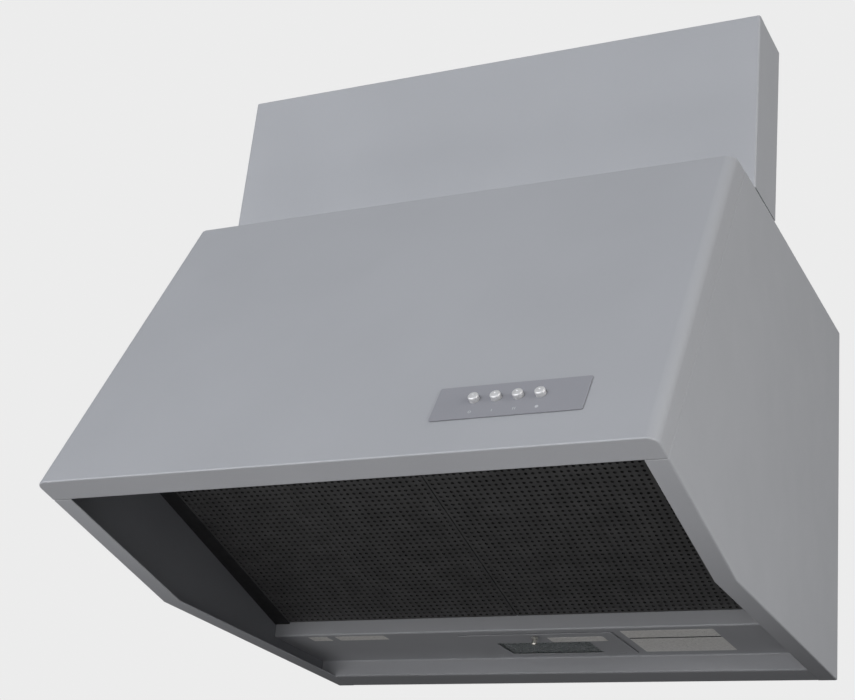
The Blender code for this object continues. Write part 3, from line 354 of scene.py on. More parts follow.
LOOKS = {
    name: build(name, *values) for name, build, *values in (
        ("silver_paint", powder_coat, (0.360, 0.368, 0.392)),
        # Inner sides: a grey back coat, made darker as painted shade for the dim inside of the hood.
        ("inner_coat", powder_coat, (0.138, 0.143, 0.157), 0.48, 0.05, 0.10, 0.00003),
        ("galvanised_sheet", zinc_sheet, (0.50, 0.52, 0.53), 0.38),
        ("black_paint", black_enamel, (0.012, 0.012, 0.013), 0.50),
        ("filter_black", black_enamel, (0.045, 0.045, 0.046), 0.46),
        ("filter_mesh", zinc_sheet, (0.050, 0.050, 0.052), 0.50, 500.0),
        ("button_metal", brushed_metal, (0.70, 0.70, 0.71), 0.42, (1, 1, 6), 0.55),
        ("plate_film", powder_coat, (0.262, 0.265, 0.292), 0.50, 0.10, 0.04, 0.00001),
        ("zinc_plating", brushed_metal, (0.62, 0.61, 0.57), 0.30, (6, 1, 6)),
        ("dark_plastic", moulded_plastic, (0.030, 0.030, 0.033), 0.50),
        ("grey_plastic", moulded_plastic, (0.30, 0.31, 0.32), 0.48),
        ("motor_enamel", motor_enamel, (0.10, 0.11, 0.12), 0.40),
        ("frosted_glass", frosted_glass, (0.16, 0.19, 0.19), 0.30),
        ("bulb_glass", opal_glass, (0.88, 0.88, 0.85), 0.18),
        ("lead_sheath", moulded_plastic, (0.55, 0.55, 0.53), 0.50, 2200.0),
        ("label_film", label_film, (0.76, 0.75, 0.73), 0.36),
        ("ink", moulded_plastic, (0.020, 0.020, 0.022), 0.55, 900.0),
        ("print", moulded_plastic, (0.46, 0.47, 0.50), 0.55, 900.0),
    )
}


# ---- making pieces


def body_of(node):
    for body, nodes in frame["record"]["behaviour"]["bodies"].items():
        if node in nodes:
            return body
    raise ValueError("no body holds " + node)


def add_object(name, shape):
    """Turns a bmesh into an object of its own."""
    mesh = bpy.data.meshes.new(name)
    shape.to_mesh(mesh)
    shape.free()
    made = bpy.data.objects.new(name, mesh)
    bpy.context.scene.collection.objects.link(made)
    return made


def modifier(piece, kind, **settings):
    added = piece.modifiers.new(kind.lower(), kind)
    for key, value in settings.items():
        setattr(added, key, value)
    return added


def apply_modifiers(piece):
    bpy.context.view_layer.update()
    view = bpy.context.evaluated_depsgraph_get()
    mesh = bpy.data.meshes.new_from_object(piece.evaluated_get(view))
    piece.modifiers.clear()
    piece.data = mesh


def cut_with(piece, cutters):
    for cutter in cutters:
        modifier(piece, "BOOLEAN", object=cutter, operation="DIFFERENCE", solver="EXACT")
    apply_modifiers(piece)
    for cutter in cutters:
        bpy.data.objects.remove(cutter, do_unlink=True)


def soften(piece, width):
    """Rounds every sharp edge a little."""
    modifier(
        piece, "BEVEL", width=width, segments=2, limit_method="ANGLE",
        angle_limit=math.radians(32), use_clamp_overlap=True, harden_normals=False,
    )
    apply_modifiers(piece)


def smooth(piece, angle):
    """Smooth shading that keeps large flat faces flat and sharp edges sharp."""
    piece.data.shade_smooth()
    piece.data.set_sharp_from_angle(angle=math.radians(angle))
    modifier(piece, "WEIGHTED_NORMAL", mode="FACE_AREA", weight=50, keep_sharp=True)
    apply_modifiers(piece)


def finish_piece(
    name, shape, look, node, sheet=0.0, cutters=(), edge=EDGE, inside=None, stands=True, angle=30
):
    """Adds a bmesh as a finished piece that stands for a CAD node and moves with its body.
    sheet gives an open surface that thickness inwards; inside is the look of its inner side."""
    piece = add_object(name, shape)
    piece.data.materials.append(LOOKS[look])
    if inside:
        piece.data.materials.append(LOOKS[inside])
    if sheet:
        modifier(
            piece, "SOLIDIFY", thickness=sheet, offset=-1, use_even_offset=True,
            material_offset=1 if inside else 0,
        )
    cut_with(piece, cutters)
    if edge:
        soften(piece, edge)
    smooth(piece, angle)
    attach(piece, body_of(node))
    if stands:
        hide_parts(node)


def prism(section, x_low, x_high, keep=None):
    """Solid of a counter-clockwise (y, z) section between two X places. keep lists the faces
    that stay: section edges by number, "low" and "high" for the ends."""
    shape = bmesh.new()
    near = [shape.verts.new((x_low, *point)) for point in section]
    far = [shape.verts.new((x_high, *point)) for point in section]
    faces = {"low": shape.faces.new(near), "high": shape.faces.new(list(reversed(far)))}
    count = len(section)
    for i in range(count):
        j = (i + 1) % count
        faces[i] = shape.faces.new((near[j], near[i], far[i], far[j]))
    bmesh.ops.recalc_face_normals(shape, faces=shape.faces)
    if keep is not None:
        gone = [face for label, face in faces.items() if label not in keep]
        bmesh.ops.delete(shape, geom=gone, context="FACES")
    return shape, faces


def bridge(shape, first, second):
    """Joins two closed loops of as many points with a band of faces."""
    count = len(first)
    for i in range(count):
        j = (i + 1) % count
        shape.faces.new((first[i], first[j], second[j], second[i]))


def moved(shape, place):
    bmesh.ops.transform(shape, matrix=place, verts=shape.verts)
    return shape


def shared_edges(face, others):
    return [edge for edge in face.edges if any(edge in other.edges for other in others)]


def round_edges(shape, edges, radius, segments):
    bmesh.ops.bevel(
        shape, geom=edges, offset=radius, segments=segments, profile=0.5, affect="EDGES",
        clamp_overlap=False,
    )


def round_sharp(shape, radius, segments, angle=25):
    """Rounds each fold of an open or closed surface that turns by more than the angle."""
    shape.normal_update()
    limit = math.radians(angle)
    folds = [e for e in shape.edges if len(e.link_faces) == 2 and e.calc_face_angle() > limit]
    round_edges(shape, folds, radius, segments)


def box_shape(lowest, highest, place=Matrix.Identity(4)):
    shape = bmesh.new()
    bmesh.ops.create_cube(shape, size=1.0)
    lowest = Vector(lowest)
    highest = Vector(highest)
    bmesh.ops.scale(shape, vec=highest - lowest, verts=shape.verts)
    bmesh.ops.translate(shape, vec=(lowest + highest) / 2, verts=shape.verts)
    return moved(shape, place)


def cylinder_shape(radius, bottom, top, place, sides=40):
    shape = bmesh.new()
    bmesh.ops.create_cone(
        shape, cap_ends=True, segments=sides, radius1=radius, radius2=radius, depth=top - bottom
    )
    bmesh.ops.translate(shape, vec=(0, 0, (bottom + top) / 2), verts=shape.verts)
    return moved(shape, place)


def cutter(shape):
    return add_object("cutter", shape)


def arc(middle, radii, start, end, steps):
    """Points of an arc round the middle between two angles in degrees, both included."""
    points = []
    for step in range(steps + 1):
        angle = math.radians(start + (end - start) * step / steps)
        x = middle[0] + radii[0] * math.cos(angle)
        points.append((x, middle[1] + radii[1] * math.sin(angle)))
    return points


def lathe(profile, place, sides=48):
    """Turns (radius, height) points round the frame's z. A closed outline makes a ring."""
    shape = bmesh.new()
    rings = []
    for radius, height in profile:
        if radius < 1e-7:
            rings.append([shape.verts.new((0, 0, height))])
            continue
        ring = []
        for step in range(sides):
            angle = math.tau * step / sides
            ring.append(
                shape.verts.new((radius * math.cos(angle), radius * math.sin(angle), height))
            )
        rings.append(ring)
    pairs = list(zip(rings, rings[1:]))
    if profile[0][0] > 1e-7 and profile[-1][0] > 1e-7:
        pairs.append((rings[-1], rings[0]))
    for lower, upper in pairs:
        for i in range(sides):
            j = (i + 1) % sides
            loop = [lower[i % len(lower)], lower[j % len(lower)]]
            loop += [upper[j % len(upper)], upper[i % len(upper)]]
            loop = list(dict.fromkeys(loop))
            if len(loop) > 2:
                shape.faces.new(loop)
    bmesh.ops.recalc_face_normals(shape, faces=shape.faces)
    return moved(shape, place)


def knurl(shape, sides, bottom, top, reach, period, scale):
    """Notches a turned rim: half of each period of its points move in to the scale."""
    for vert in shape.verts:
        spot = Vector((vert.co.x, vert.co.y))
        if bottom < vert.co.z < top and spot.length > reach:
            lobe = round(math.atan2(spot.y, spot.x) / math.tau * sides)
            vert.co.xy = spot * (scale if lobe % period >= period / 2 else 1.0)


def fillet(points, radius, steps=4):
    """Open (y, z) path with each inner corner rounded."""
    path = [Vector(points[0])]
    for before, corner, after in zip(points, points[1:], points[2:]):
        corner = Vector(corner)
        back = (Vector(before) - corner).normalized()
        ahead = (Vector(after) - corner).normalized()
        half = back.angle(ahead) / 2
        cut = radius / math.tan(half)
        middle = corner + (back + ahead).normalized() * (radius / math.sin(half))
        start = corner + back * cut - middle
        turn = start.angle_signed(corner + ahead * cut - middle)
        for step in range(steps + 1):
            spot = start.copy()
            spot.rotate(Matrix.Rotation(-turn * step / steps, 2))
            path.append(middle + spot)
    path.append(Vector(points[-1]))
    return path


def strip(path, x_low, x_high):
    """Bent sheet surface: a (y, z) path drawn out along X."""
    shape = bmesh.new()
    rows = [[shape.verts.new((x, *point)) for x in (x_low, x_high)] for point in path]
    for (a, b), (c, d) in zip(rows, rows[1:]):
        shape.faces.new((a, b, d, c))
    return shape


def rounded_outline(width, height, radius, steps=5):
    points = []
    for sign_x, sign_y, start in ((1, -1, -90), (1, 1, 0), (-1, 1, 90), (-1, -1, 180)):
        corner = (sign_x * (width / 2 - radius), sign_y * (height / 2 - radius))
        points += arc(corner, (radius, radius), start, start + 90, steps)
    return points


def plate_shape(outline, bottom, top, place):
    """Flat plate of an outline in the frame's xy."""
    shape = bmesh.new()
    below = [shape.verts.new((x, y, bottom)) for x, y in outline]
    above = [shape.verts.new((x, y, top)) for x, y in outline]
    shape.faces.new(list(reversed(below)))
    shape.faces.new(above)
    bridge(shape, below, above)
    return moved(shape, place)


def dress(node, look):
    """A CAD node's own shape with its edges broken and a finished surface."""
    shape = bmesh.new()
    shape.from_mesh(frame["nodes"][node].data)
    bmesh.ops.remove_doubles(shape, verts=shape.verts, dist=1e-6)
    bmesh.ops.dissolve_limit(
        shape, angle_limit=math.radians(0.5), verts=shape.verts, edges=shape.edges
    )
    finish_piece(node + "_finish", shape, look, node, edge=0.0003)


# ---- sheet-metal body


def build_face():
    """Folded front panel with wide rounded upright edges and a tight bottom fold."""
    lip = side_corner("front_panel", "-z")
    back = side_corner("front_panel", "z", "y")
    section = [FACE_FOOT, lip, back, FACE_HEAD]
    shape, faces = prism(section, -HALF_WIDTH, HALF_WIDTH, keep=(0, 2, 3, "low", "high"))
    round_edges(shape, shared_edges(faces[3], (faces["low"], faces["high"])), FACE_RADIUS, 10)
    round_sharp(shape, BEND, 4)
    holes = []
    for node in BUTTONS:
        place = face_frame(centre(node).x, up_face(node))
        radius = extent(node).x / 2 - 0.0011
        holes.append(cutter(cylinder_shape(radius, -0.004, 0.004, place)))
    finish_piece(
        "face_shell", shape, "silver_paint", "front_panel", SHEET, holes, inside="inner_coat"
    )


def build_side(side):
    """Flat side with bent flanges along its sloping and level bottom edges and its front."""
    node = "side_panel_" + side
    sign = -1 if side == "left" else 1
    section = [
        side_corner(node, "-y"), side_corner(node, "-z", "-y"), side_corner(node, "-z", "y"),
        side_corner(node, "z", "y"), side_corner(node, "z", "-y"),
    ]
    outer = sign * HALF_WIDTH
    inner = low(node).x if sign > 0 else high(node).x
    end = "high" if sign > 0 else "low"
    shape, _ = prism(section, min(outer, inner), max(outer, inner), keep=(0, 1, 4, end))
    round_sharp(shape, BEND, 4)
    # The inner side gets the back coat whose darkness is partly painted shade for the inside of the hood.
    finish_piece(
        "side_shell_" + side, shape, "silver_paint", node, SHEET, inside="inner_coat"
    )


def build_curtain():
    """U-shaped upper panel with a short flange along its top edge."""
    lowest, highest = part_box("curtain_panel")
    flange = lowest.y + 0.015
    section = [
        (lowest.y, lowest.z), (highest.y, lowest.z), (highest.y, highest.z),
        (flange, highest.z), (lowest.y, highest.z),
    ]
    shape, faces = prism(section, lowest.x, highest.x, keep=(3, 4, "low", "high"))
    round_edges(shape, shared_edges(faces[4], (faces["low"], faces["high"])), CURTAIN_RADIUS, 5)
    round_sharp(shape, 0.0012, 3, angle=60)
    finish_piece(
        "curtain_shell", shape, "silver_paint", "curtain_panel", SHEET, inside="inner_coat"
    )


def trough_path():
    """(y, z) path along the trough's visible side, from the front wall to the rear flange."""
    lowest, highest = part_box("rear_trough")
    bottom = low("lamp_window").z
    back = max(p.y for p in corners("rear_trough") if abs(p.z - bottom) < 1e-5)
    return [
        (lowest.y, highest.z), (lowest.y, bottom), (back, bottom), (back, lowest.z),
        (highest.y, lowest.z),
    ]


def build_trough():
    lowest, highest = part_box("rear_trough")
    path = trough_path()
    shape = strip(fillet(path, 0.0022), lowest.x, highest.x)
    bmesh.ops.recalc_face_normals(shape, faces=shape.faces)
    middle = [face for face in shape.faces if abs(face.normal.z) > 0.99]
    if middle[0].normal.z > 0:
        bmesh.ops.reverse_faces(shape, faces=shape.faces)
    back = path[2][0]
    cutters = []
    for sign in (-1, 1):
        inner = sign * (low("side_panel_right").x - 0.0003)
        edge = sign * (HALF_WIDTH + 0.01)
        cutters.append(cutter(box_shape(
            (min(inner, edge), back - 0.002, lowest.z - 0.005),
            (max(inner, edge), 0.01, lowest.z + 0.0013),
        )))
    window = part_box("lamp_window")
    bottom = path[1][1]
    cutters.append(cutter(box_shape(
        (window[0].x - 0.020, window[0].y - 0.015, bottom - 0.004),
        (window[1].x + 0.025, window[1].y + 0.0013, bottom + 0.006),
    )))
    screw = centre("lamp_thumbscrew")
    hole = Matrix.Translation((screw.x, screw.y, bottom))
    cutters.append(cutter(cylinder_shape(SCREW_BORE, -0.004, 0.006, hole, 20)))
    finish_piece("trough_sheet", shape, "silver_paint", "rear_trough", SHEET, cutters)


# ---- filters


def filter_place(side):
    """Frame on the filter's lower plane at its rear edge, x world X, y up to the front."""
    node = "filter_frame_" + side
    screen = corners("filter_screen_" + side)
    lowest = min(screen, key=lambda p: (round(p.z, 5), -p.y))
    front = min(screen, key=lambda p: (round(p.y, 5), p.z))
    upward = Vector((0, front.y - lowest.y, front.z - lowest.z)).normalized()
    downward = X_AXIS.cross(upward)
    rear = min(corners(node), key=lambda p: p.dot(upward))
    depth = max(p.dot(downward) for p in corners(node))
    origin = upward * rear.dot(upward) + downward * depth
    return axes_frame(X_AXIS, upward, origin)


def perforated(width, length):
    """Sheet from the origin to (width, length): plain margins round a grid of cells, each
    with a many-sided hole."""
    columns = int((width - 0.0004) / HOLE_PITCH[0])
    rows = int((length - 0.0004) / HOLE_PITCH[1])
    half_x = HOLE_PITCH[0] / 2
    half_y = HOLE_PITCH[1] / 2
    start_x = (width - columns * HOLE_PITCH[0]) / 2
    start_y = (length - rows * HOLE_PITCH[1]) / 2
    shape = bmesh.new()
    for row in range(rows):
        for column in range(columns):
            add_cell(
                shape, start_x + (2 * column + 1) * half_x, start_y + (2 * row + 1) * half_y,
                half_x, half_y,
            )
    bmesh.ops.remove_doubles(shape, verts=shape.verts, dist=1e-5)
    for low_x, low_y, high_x, high_y in (
        (0, 0, width, start_y), (0, length - start_y, width, length),
        (0, start_y, start_x, length - start_y),
        (width - start_x, start_y, width, length - start_y),
    ):
        spots = ((low_x, low_y), (high_x, low_y), (high_x, high_y), (low_x, high_y))
        shape.faces.new([shape.verts.new((x, y, 0)) for x, y in spots])
    return shape


def add_cell(shape, x, y, half_x, half_y):
    """Rectangle round (x, y) with a hole in its middle."""
    hole = []
    edge = []
    for step in range(HOLE_SIDES):
        angle = math.tau * step / HOLE_SIDES
        turn = Vector((math.cos(angle), math.sin(angle), 0))
        reach = min(half_x / max(abs(turn.x), 1e-9), half_y / max(abs(turn.y), 1e-9))
        hole.append(shape.verts.new(Vector((x, y, 0)) + turn * HOLE_RADIUS))
        edge.append(shape.verts.new(Vector((x, y, 0)) + turn * reach))
    for i in range(HOLE_SIDES):
        j = (i + 1) % HOLE_SIDES
        loop = [edge[i], edge[j], hole[j], hole[i]]
        first = edge[i].co
        second = edge[j].co
        if abs(first.x - second.x) > 1e-7 and abs(first.y - second.y) > 1e-7:
            middle = (first + second) / 2 - Vector((x, y, 0))
            corner = (x + math.copysign(half_x, middle.x), y + math.copysign(half_y, middle.y), 0)
            loop.insert(1, shape.verts.new(corner))
        shape.faces.new(loop)


def rim_section():
    """Rim cut across, above the perforated sheet: u runs inwards from the outer edge."""
    width = FILTER_RIM
    thick = FILTER_THICK - FILTER_SHEET
    radius = 0.0015
    points = []
    spots = ((width, 0, 0), (width, -thick, 90), (0, -thick, 180), (0, 0, 270))
    for u, depth, _ in spots:
        inward_u = -1 if u else 1
        inward_d = 1 if depth else -1
        for step in range(4):
            angle = math.pi / 2 * step / 3
            first, second = math.cos(angle), math.sin(angle)
            if (u == 0) == (depth == 0):
                first, second = second, first
            points.append((
                u + inward_u * radius * (1 - first),
                depth + inward_d * radius * (1 - second) - FILTER_SHEET,
            ))
    return points


def filter_length(side):
    """From the filter's rear edge to the front edge of its rim."""
    window = local_box("filter_screen_" + side, filter_place(side))[1].y
    return window + FILTER_RIM + 0.0003


def build_filter_frame(side):
    node = "filter_frame_" + side
    place = filter_place(side)
    lowest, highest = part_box(node)
    length = filter_length(side)
    shape = bmesh.new()
    loops = []
    for u, depth in rim_section():
        loops.append([
            shape.verts.new((lowest.x + u, u, depth)),
            shape.verts.new((highest.x - u, u, depth)),
            shape.verts.new((highest.x - u, length - u, depth)),
            shape.verts.new((lowest.x + u, length - u, depth)),
        ])
    for first, second in zip(loops, loops[1:] + loops[:1]):
        bridge(shape, first, second)
    axis = place.inverted() @ centre("filter_hinge_rod")
    middle = (lowest.x + highest.x) / 2
    for x in (middle - 0.085, middle + 0.085):
        add_knuckle(shape, x, length, axis)
    bmesh.ops.recalc_face_normals(shape, faces=shape.faces)
    shape = moved(shape, place)
    finish_piece("filter_rim_" + side, shape, "filter_black", node, edge=0, angle=40)


def add_knuckle(shape, x, length, axis):
    """Strap that leaves the rim and rolls round the hinge rod."""
    half = 0.015
    inner = 0.0028
    outer = 0.0044
    mid = (inner + outer) / 2
    path = [(length - 0.003, axis.z - mid)]
    path += arc((axis.y, axis.z), (mid, mid), -90, 240, 14)
    wall = (outer - inner) / 2
    rows = []
    for i, point in enumerate(path):
        before = Vector(path[max(i - 1, 0)])
        after = Vector(path[min(i + 1, len(path) - 1)])
        along = (after - before).normalized()
        across = Vector((-along.y, along.x)) * wall
        rows.append([
            shape.verts.new((x + end * half, *(Vector(point) + across * way)))
            for end, way in ((-1, -1), (1, -1), (1, 1), (-1, 1))
        ])
    for first, second in zip(rows, rows[1:]):
        bridge(shape, first, second)
    shape.faces.new(rows[0])
    shape.faces.new(list(reversed(rows[-1])))


def build_filter_screen(side):
    """Perforated sheet that covers the filter's whole lower side, rim included."""
    lowest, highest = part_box("filter_frame_" + side)
    place = filter_place(side) @ Matrix.Translation((lowest.x, 0, 0))
    shape = moved(perforated(highest.x - lowest.x, filter_length(side)), place)
    finish_piece(
        "filter_sheet_" + side, shape, "filter_black", "filter_screen_" + side,
        FILTER_SHEET, edge=0, angle=40,
    )


def build_filter_pad(side):
    """Pleated pad of fine expanded mesh above the perforated sheet."""
    node = "filter_pad_" + side
    place = filter_place(side)
    lowest, highest = local_box(node, place)
    shape = bmesh.new()
    steps = int((highest.x - lowest.x) / PLEAT_PITCH * 8)
    wall = 0.0004
    rise = (highest.z - lowest.z) / 2 - wall
    middle = (highest.z + lowest.z) / 2
    rows = []
    for step in range(steps + 1):
        x = lowest.x + (highest.x - lowest.x) * step / steps
        z = middle + wall / 2 + rise * math.sin(math.tau * step / 8)
        rows.append([shape.verts.new((x, y, z)) for y in (lowest.y, highest.y)])
    for (a, b), (c, d) in zip(rows, rows[1:]):
        shape.faces.new((a, c, d, b))
    shape = moved(shape, place)
    finish_piece("filter_pleats_" + side, shape, "filter_mesh", node, wall, edge=0, angle=50)


# ---- lamp


def build_lamp_cover():
    """Plate with rounded corners, a window, a screw hole and two rear hooks."""
    lowest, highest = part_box("lamp_cover")
    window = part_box("lamp_window")
    plate_top = lowest.z + 0.7 * SHEET
    middle = (lowest + highest) / 2
    outline = rounded_outline(highest.x - lowest.x, highest.y - lowest.y, 0.002)
    shape = plate_shape(outline, lowest.z, plate_top, Matrix.Translation((middle.x, middle.y, 0)))
    pane_width = window[1].x - window[0].x - 0.008
    pane_depth = window[1].y - window[0].y - 0.0062
    spot = Matrix.Translation((
        (window[0].x + window[1].x) / 2, window[0].y + 0.004 + pane_depth / 2, lowest.z,
    ))
    opening = plate_shape(rounded_outline(pane_width, pane_depth, 0.0015), -0.01, 0.01, spot)
    screw = centre("lamp_thumbscrew")
    spot = Matrix.Translation((screw.x, screw.y, lowest.z))
    hole = cylinder_shape(SCREW_BORE, -0.01, 0.01, spot, 24)
    finish_piece(
        "lamp_cover_plate", shape, "silver_paint", "lamp_cover", 0, [cutter(opening), cutter(hole)]
    )
    hinge = next(j for j in frame["joints"] if j["name"] == "lamp_door_swing")
    rear = hinge["pos_m"][1] - 0.0025
    for index, x in enumerate(HOOK_X):
        path = [(rear - 0.004, plate_top), (rear + 0.0005, plate_top + 0.0002)]
        path += [(rear + 0.0005, plate_top + 0.0038), (rear + 0.0040, plate_top + 0.0038)]
        hook = strip(fillet(path, 0.0008, 3), x - 0.004, x + 0.004)
        finish_piece(
            f"lamp_hook_{index + 1}", hook, "silver_paint", "lamp_cover", 0.0009, edge=0.0001,
            stands=False,
        )


def build_lamp_window():
    """Glass pane with round corners and softened edges."""
    size = extent("lamp_window")
    outline = rounded_outline(size.x, size.y, 0.002)
    shape = plate_shape(outline, 0, size.z, on_foot("lamp_window"))
    finish_piece("lamp_pane", shape, "frosted_glass", "lamp_window", edge=0.0004)


def build_thumbscrew():
    """Knurled head with a waist and a domed tip, hanging from its shank."""
    size = extent("lamp_thumbscrew")
    radius = size.x / 2
    profile = [
        (0, 0), (radius * 0.45, 0.0002), (radius * 0.78, 0.0008), (radius * 0.92, 0.0018),
        (radius * 0.92, 0.0030), (radius * 0.66, 0.0038), (radius * 0.64, 0.0056),
        (radius, 0.0064), (radius, 0.0084), (radius * 0.8, 0.0092), (0.0020, 0.0096),
        (0.0020, size.z - 0.0006), (0.0014, size.z), (0, size.z),
    ]
    shape = lathe(profile, Matrix.Identity(4), 48)
    knurl(shape, 48, 0.0060, 0.0088, radius * 0.9, 2, 0.93)
    shape = moved(shape, on_foot("lamp_thumbscrew"))
    finish_piece("lamp_thumbscrew_turned", shape, "zinc_plating", "lamp_thumbscrew", edge=0)


def build_lamp_bulb():
    """Opal bulb on its threaded cap, lying in the socket."""
    lowest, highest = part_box("lamp_bulb")
    length = highest.x - lowest.x
    radius = (highest.z - lowest.z) / 2
    middle = (lowest + highest) / 2
    place = axes_frame((0, 1, 0), (0, 0, 1), (lowest.x, middle.y, middle.z))
    cap = []
    for turn in range(16):
        cap.append((0.0080 + 0.0005 * (turn % 2), 0.003 + 0.0015 * turn))
    glass = []
    for step in range(1, 25):
        share = step / 24
        height = 0.029 + (length - 0.029) * share
        swell = math.sin(math.pi * min(share ** 1.25, 1)) ** 0.5
        glass.append((max(0.0084 * (1 - share) + radius * 0.93 * swell, 0), height))
    profile = [(0, 0), (0.005, 0)] + cap + glass[:-1] + [(0, length)]
    shape = lathe(profile, place, 32)
    finish_piece("lamp_bulb_glass", shape, "bulb_glass", "lamp_bulb", edge=0)


# ---- controls


def build_switch_plate():
    """Thin plate with broken edges, round its four button holes."""
    node = "switch_plate"
    middle = centre(node)
    up = up_face(node)
    depth = (middle - Vector((middle.x, *FACE_FOOT))).dot(FACE_OUT)
    place = face_frame(middle.x, up)
    lowest, highest = local_box(node, place)
    outline = rounded_outline(highest.x - lowest.x, highest.y - lowest.y, 0.0018)
    shape = plate_shape(outline, lowest.z, 2 * depth - lowest.z, place)
    holes = []
    for name in BUTTONS:
        spot = face_frame(centre(name).x, up_face(name))
        holes.append(cutter(cylinder_shape(0.0051, -0.004, 0.004, spot)))
    finish_piece("switch_plate_film", shape, "plate_film", node, 0, holes, edge=0.00025)


def build_button(node):
    """Cap with a dimpled dome and a fine groove, on its collar and stem."""
    place = face_frame(centre(node).x, up_face(node))
    foot, top = (corner.z for corner in local_box(node, place))
    radius = BUTTON_RADIUS
    profile = [(0, top - 0.0005)]
    for step in range(1, 5):
        share = step / 4
        profile.append((0.0013 * share, top - 0.0005 + 0.0005 * share * share))
    profile.append((0.0030, top - 0.0002))
    profile += arc((0.0033, top - 0.0015), (radius - 0.0033, 0.0013), 90, 0, 7)[1:]
    profile += [
        (radius, 0.0018), (radius - 0.0002, 0.0016), (radius - 0.0002, 0.0012), (radius, 0.0010),
        (radius, -0.0013), (0.0062, -0.0013), (0.0062, -0.0023), (0.0030, -0.0023),
        (0.0030, foot), (0, foot),
    ]
    shape = lathe(profile, place, 40)
    finish_piece(node + "_cap", shape, "button_metal", node, edge=0, angle=38)


def build_marks():
    """Small printed mark below each button: ring, one bar, two bars and disc."""
    top = local_box("switch_plate", face_frame())[1].z
    up = up_face("button_off") - MARK_DROP
    film = 0.00006
    for node in BUTTONS:
        place = face_frame(centre(node).x, up)
        if node == "button_off":
            shape = lathe(
                [(0.0015, top), (0.0015, top + film), (0.0010, top + film), (0.0010, top)],
                place, 24,
            )
        elif node == "button_light":
            shape = cylinder_shape(0.0016, top, top + film, place, 24)
        else:
            shape = bmesh.new()
            for x in (0.0,) if node == "button_low" else (-0.0009, 0.0009):
                bar = plate_shape(
                    rounded_outline(0.0007, 0.0030, 0.0003), top, top + film,
                    place @ Matrix.Translation((x, 0, 0)),
                )
                merge(shape, bar)
        name = "mark_" + node.removeprefix("button_")
        finish_piece(name, shape, "print", "switch_plate", edge=0, stands=False)


def merge(shape, other):
    """Adds a second bmesh's geometry to the first."""
    mesh = bpy.data.meshes.new("part")
    other.to_mesh(mesh)
    other.free()
    shape.from_mesh(mesh)
    bpy.data.meshes.remove(mesh)


# ---- labels under the trough


def build_label(name, low_corner, high_corner, surface, node, look="label_film"):
    """Blank film label with round corners on the underside at a height."""
    width = high_corner[0] - low_corner[0]
    depth = high_corner[1] - low_corner[1]
    middle = ((low_corner[0] + high_corner[0]) / 2, (low_corner[1] + high_corner[1]) / 2)
    place = Matrix.Translation((*middle, surface))
    shape = plate_shape(rounded_outline(width, depth, 0.0012, 3), -0.00025, -0.00003, place)
    finish_piece(name, shape, look, node, edge=0.00006, stands=False)


def build_labels():
    trough = trough_path()[1][1]
    cover = low("lamp_cover").z
    window = low("lamp_window").y + 0.002
    build_label("label_lamp", (0.022, window - 0.018), (0.085, window), cover, "lamp_cover")
    for name, lowest, highest, look in (
        ("label_right_front", (0.109, -0.145), (0.209, -0.118), "label_film"),
        ("label_right_line", (0.110, -0.1175), (0.208, -0.1140), "ink"),
        ("label_right_rear", (0.109, -0.1135), (0.209, -0.060), "label_film"),
        ("label_left_short", (-0.259, -0.150), (-0.235, -0.134), "label_film"),
        ("label_left_long", (-0.225, -0.150), (-0.164, -0.134), "label_film"),
    ):
        build_label(name, lowest, highest, trough, "rear_trough", look)


# ---- duct, fan and fasteners


def build_screw(node, place, radius=0.0038, height=0.0022):
    """Pan head with a cross recess."""
    profile = [(0, height)] + arc((0, height * 0.35), (radius, height * 0.65), 90, 0, 6)[1:]
    profile += [(radius, 0.0003), (0, 0.0003)]
    head = lathe(profile, place, 28)
    cutters = []
    for turn in (0, 90):
        spin = place @ Matrix.Rotation(math.radians(turn), 4, "Z")
        slot = box_shape(
            (-radius * 0.55, -radius * 0.12, height * 0.45), (radius * 0.55, radius * 0.12, 0.01),
            spin,
        )
        cutters.append(cutter(slot))
    finish_piece(node + "_head", head, "zinc_plating", node, 0, cutters, edge=0.0001)


def build_screws():
    for node in ["collar_screw_" + str(i) for i in range(1, 5)] + [
        "curtain_screw_left", "curtain_screw_right",
    ]:
        spot = centre(node)
        spot.z = low(node).z - 0.0003
        build_screw(node, Matrix.Translation(spot))
    for side in ("left", "right"):
        node = "switch_screw_" + side
        top = local_box(node, face_frame())[1].z + 0.0003
        middle = centre(node)
        turned = Matrix.Rotation(math.pi, 4, "X")
        place = face_frame(middle.x, up_face(node)) @ Matrix.Translation((0, 0, top)) @ turned
        build_screw(node, place, 0.003)


def bead(radius, rise, bottom):
    """Half wave that a swaged bead makes in a spun wall."""
    shares = [step / 8 for step in range(9)]
    return [(radius + rise * math.sin(math.pi * share), bottom + 0.007 * share) for share in shares]


def build_duct_collar():
    """Round collar with a swaged bead, a rolled rim and a base flange."""
    size = extent("duct_collar")
    flange = size.x / 2
    tall = size.z
    outer = COLLAR_RADIUS
    wall = SHEET
    outside = [(flange, 0), (flange, wall)]
    outside += [(outer + 0.0025, wall), (outer + 0.0008, wall + 0.0006), (outer, wall + 0.0022)]
    outside += bead(outer, 0.0016, tall * 0.62)
    outside += [(outer, tall - 0.0012), (outer - 0.0003, tall - 0.0003)]
    inner = outer - wall
    inside = [(inner + 0.0003, tall), (inner, tall - 0.0010)]
    inside += list(reversed(bead(inner, 0.0014, tall * 0.62))) + [(inner, 0)]
    shape = lathe(outside + inside, on_foot("duct_collar"), 96)
    pin = centre("damper_pin")
    across = axes_frame((0, 1, 0), (0, 0, 1), (0, pin.y, pin.z))
    bore = cutter(cylinder_shape(0.0023, -0.09, 0.09, across, 24))
    finish_piece("duct_collar_spun", shape, "galvanised_sheet", "duct_collar", 0, [bore], edge=0)


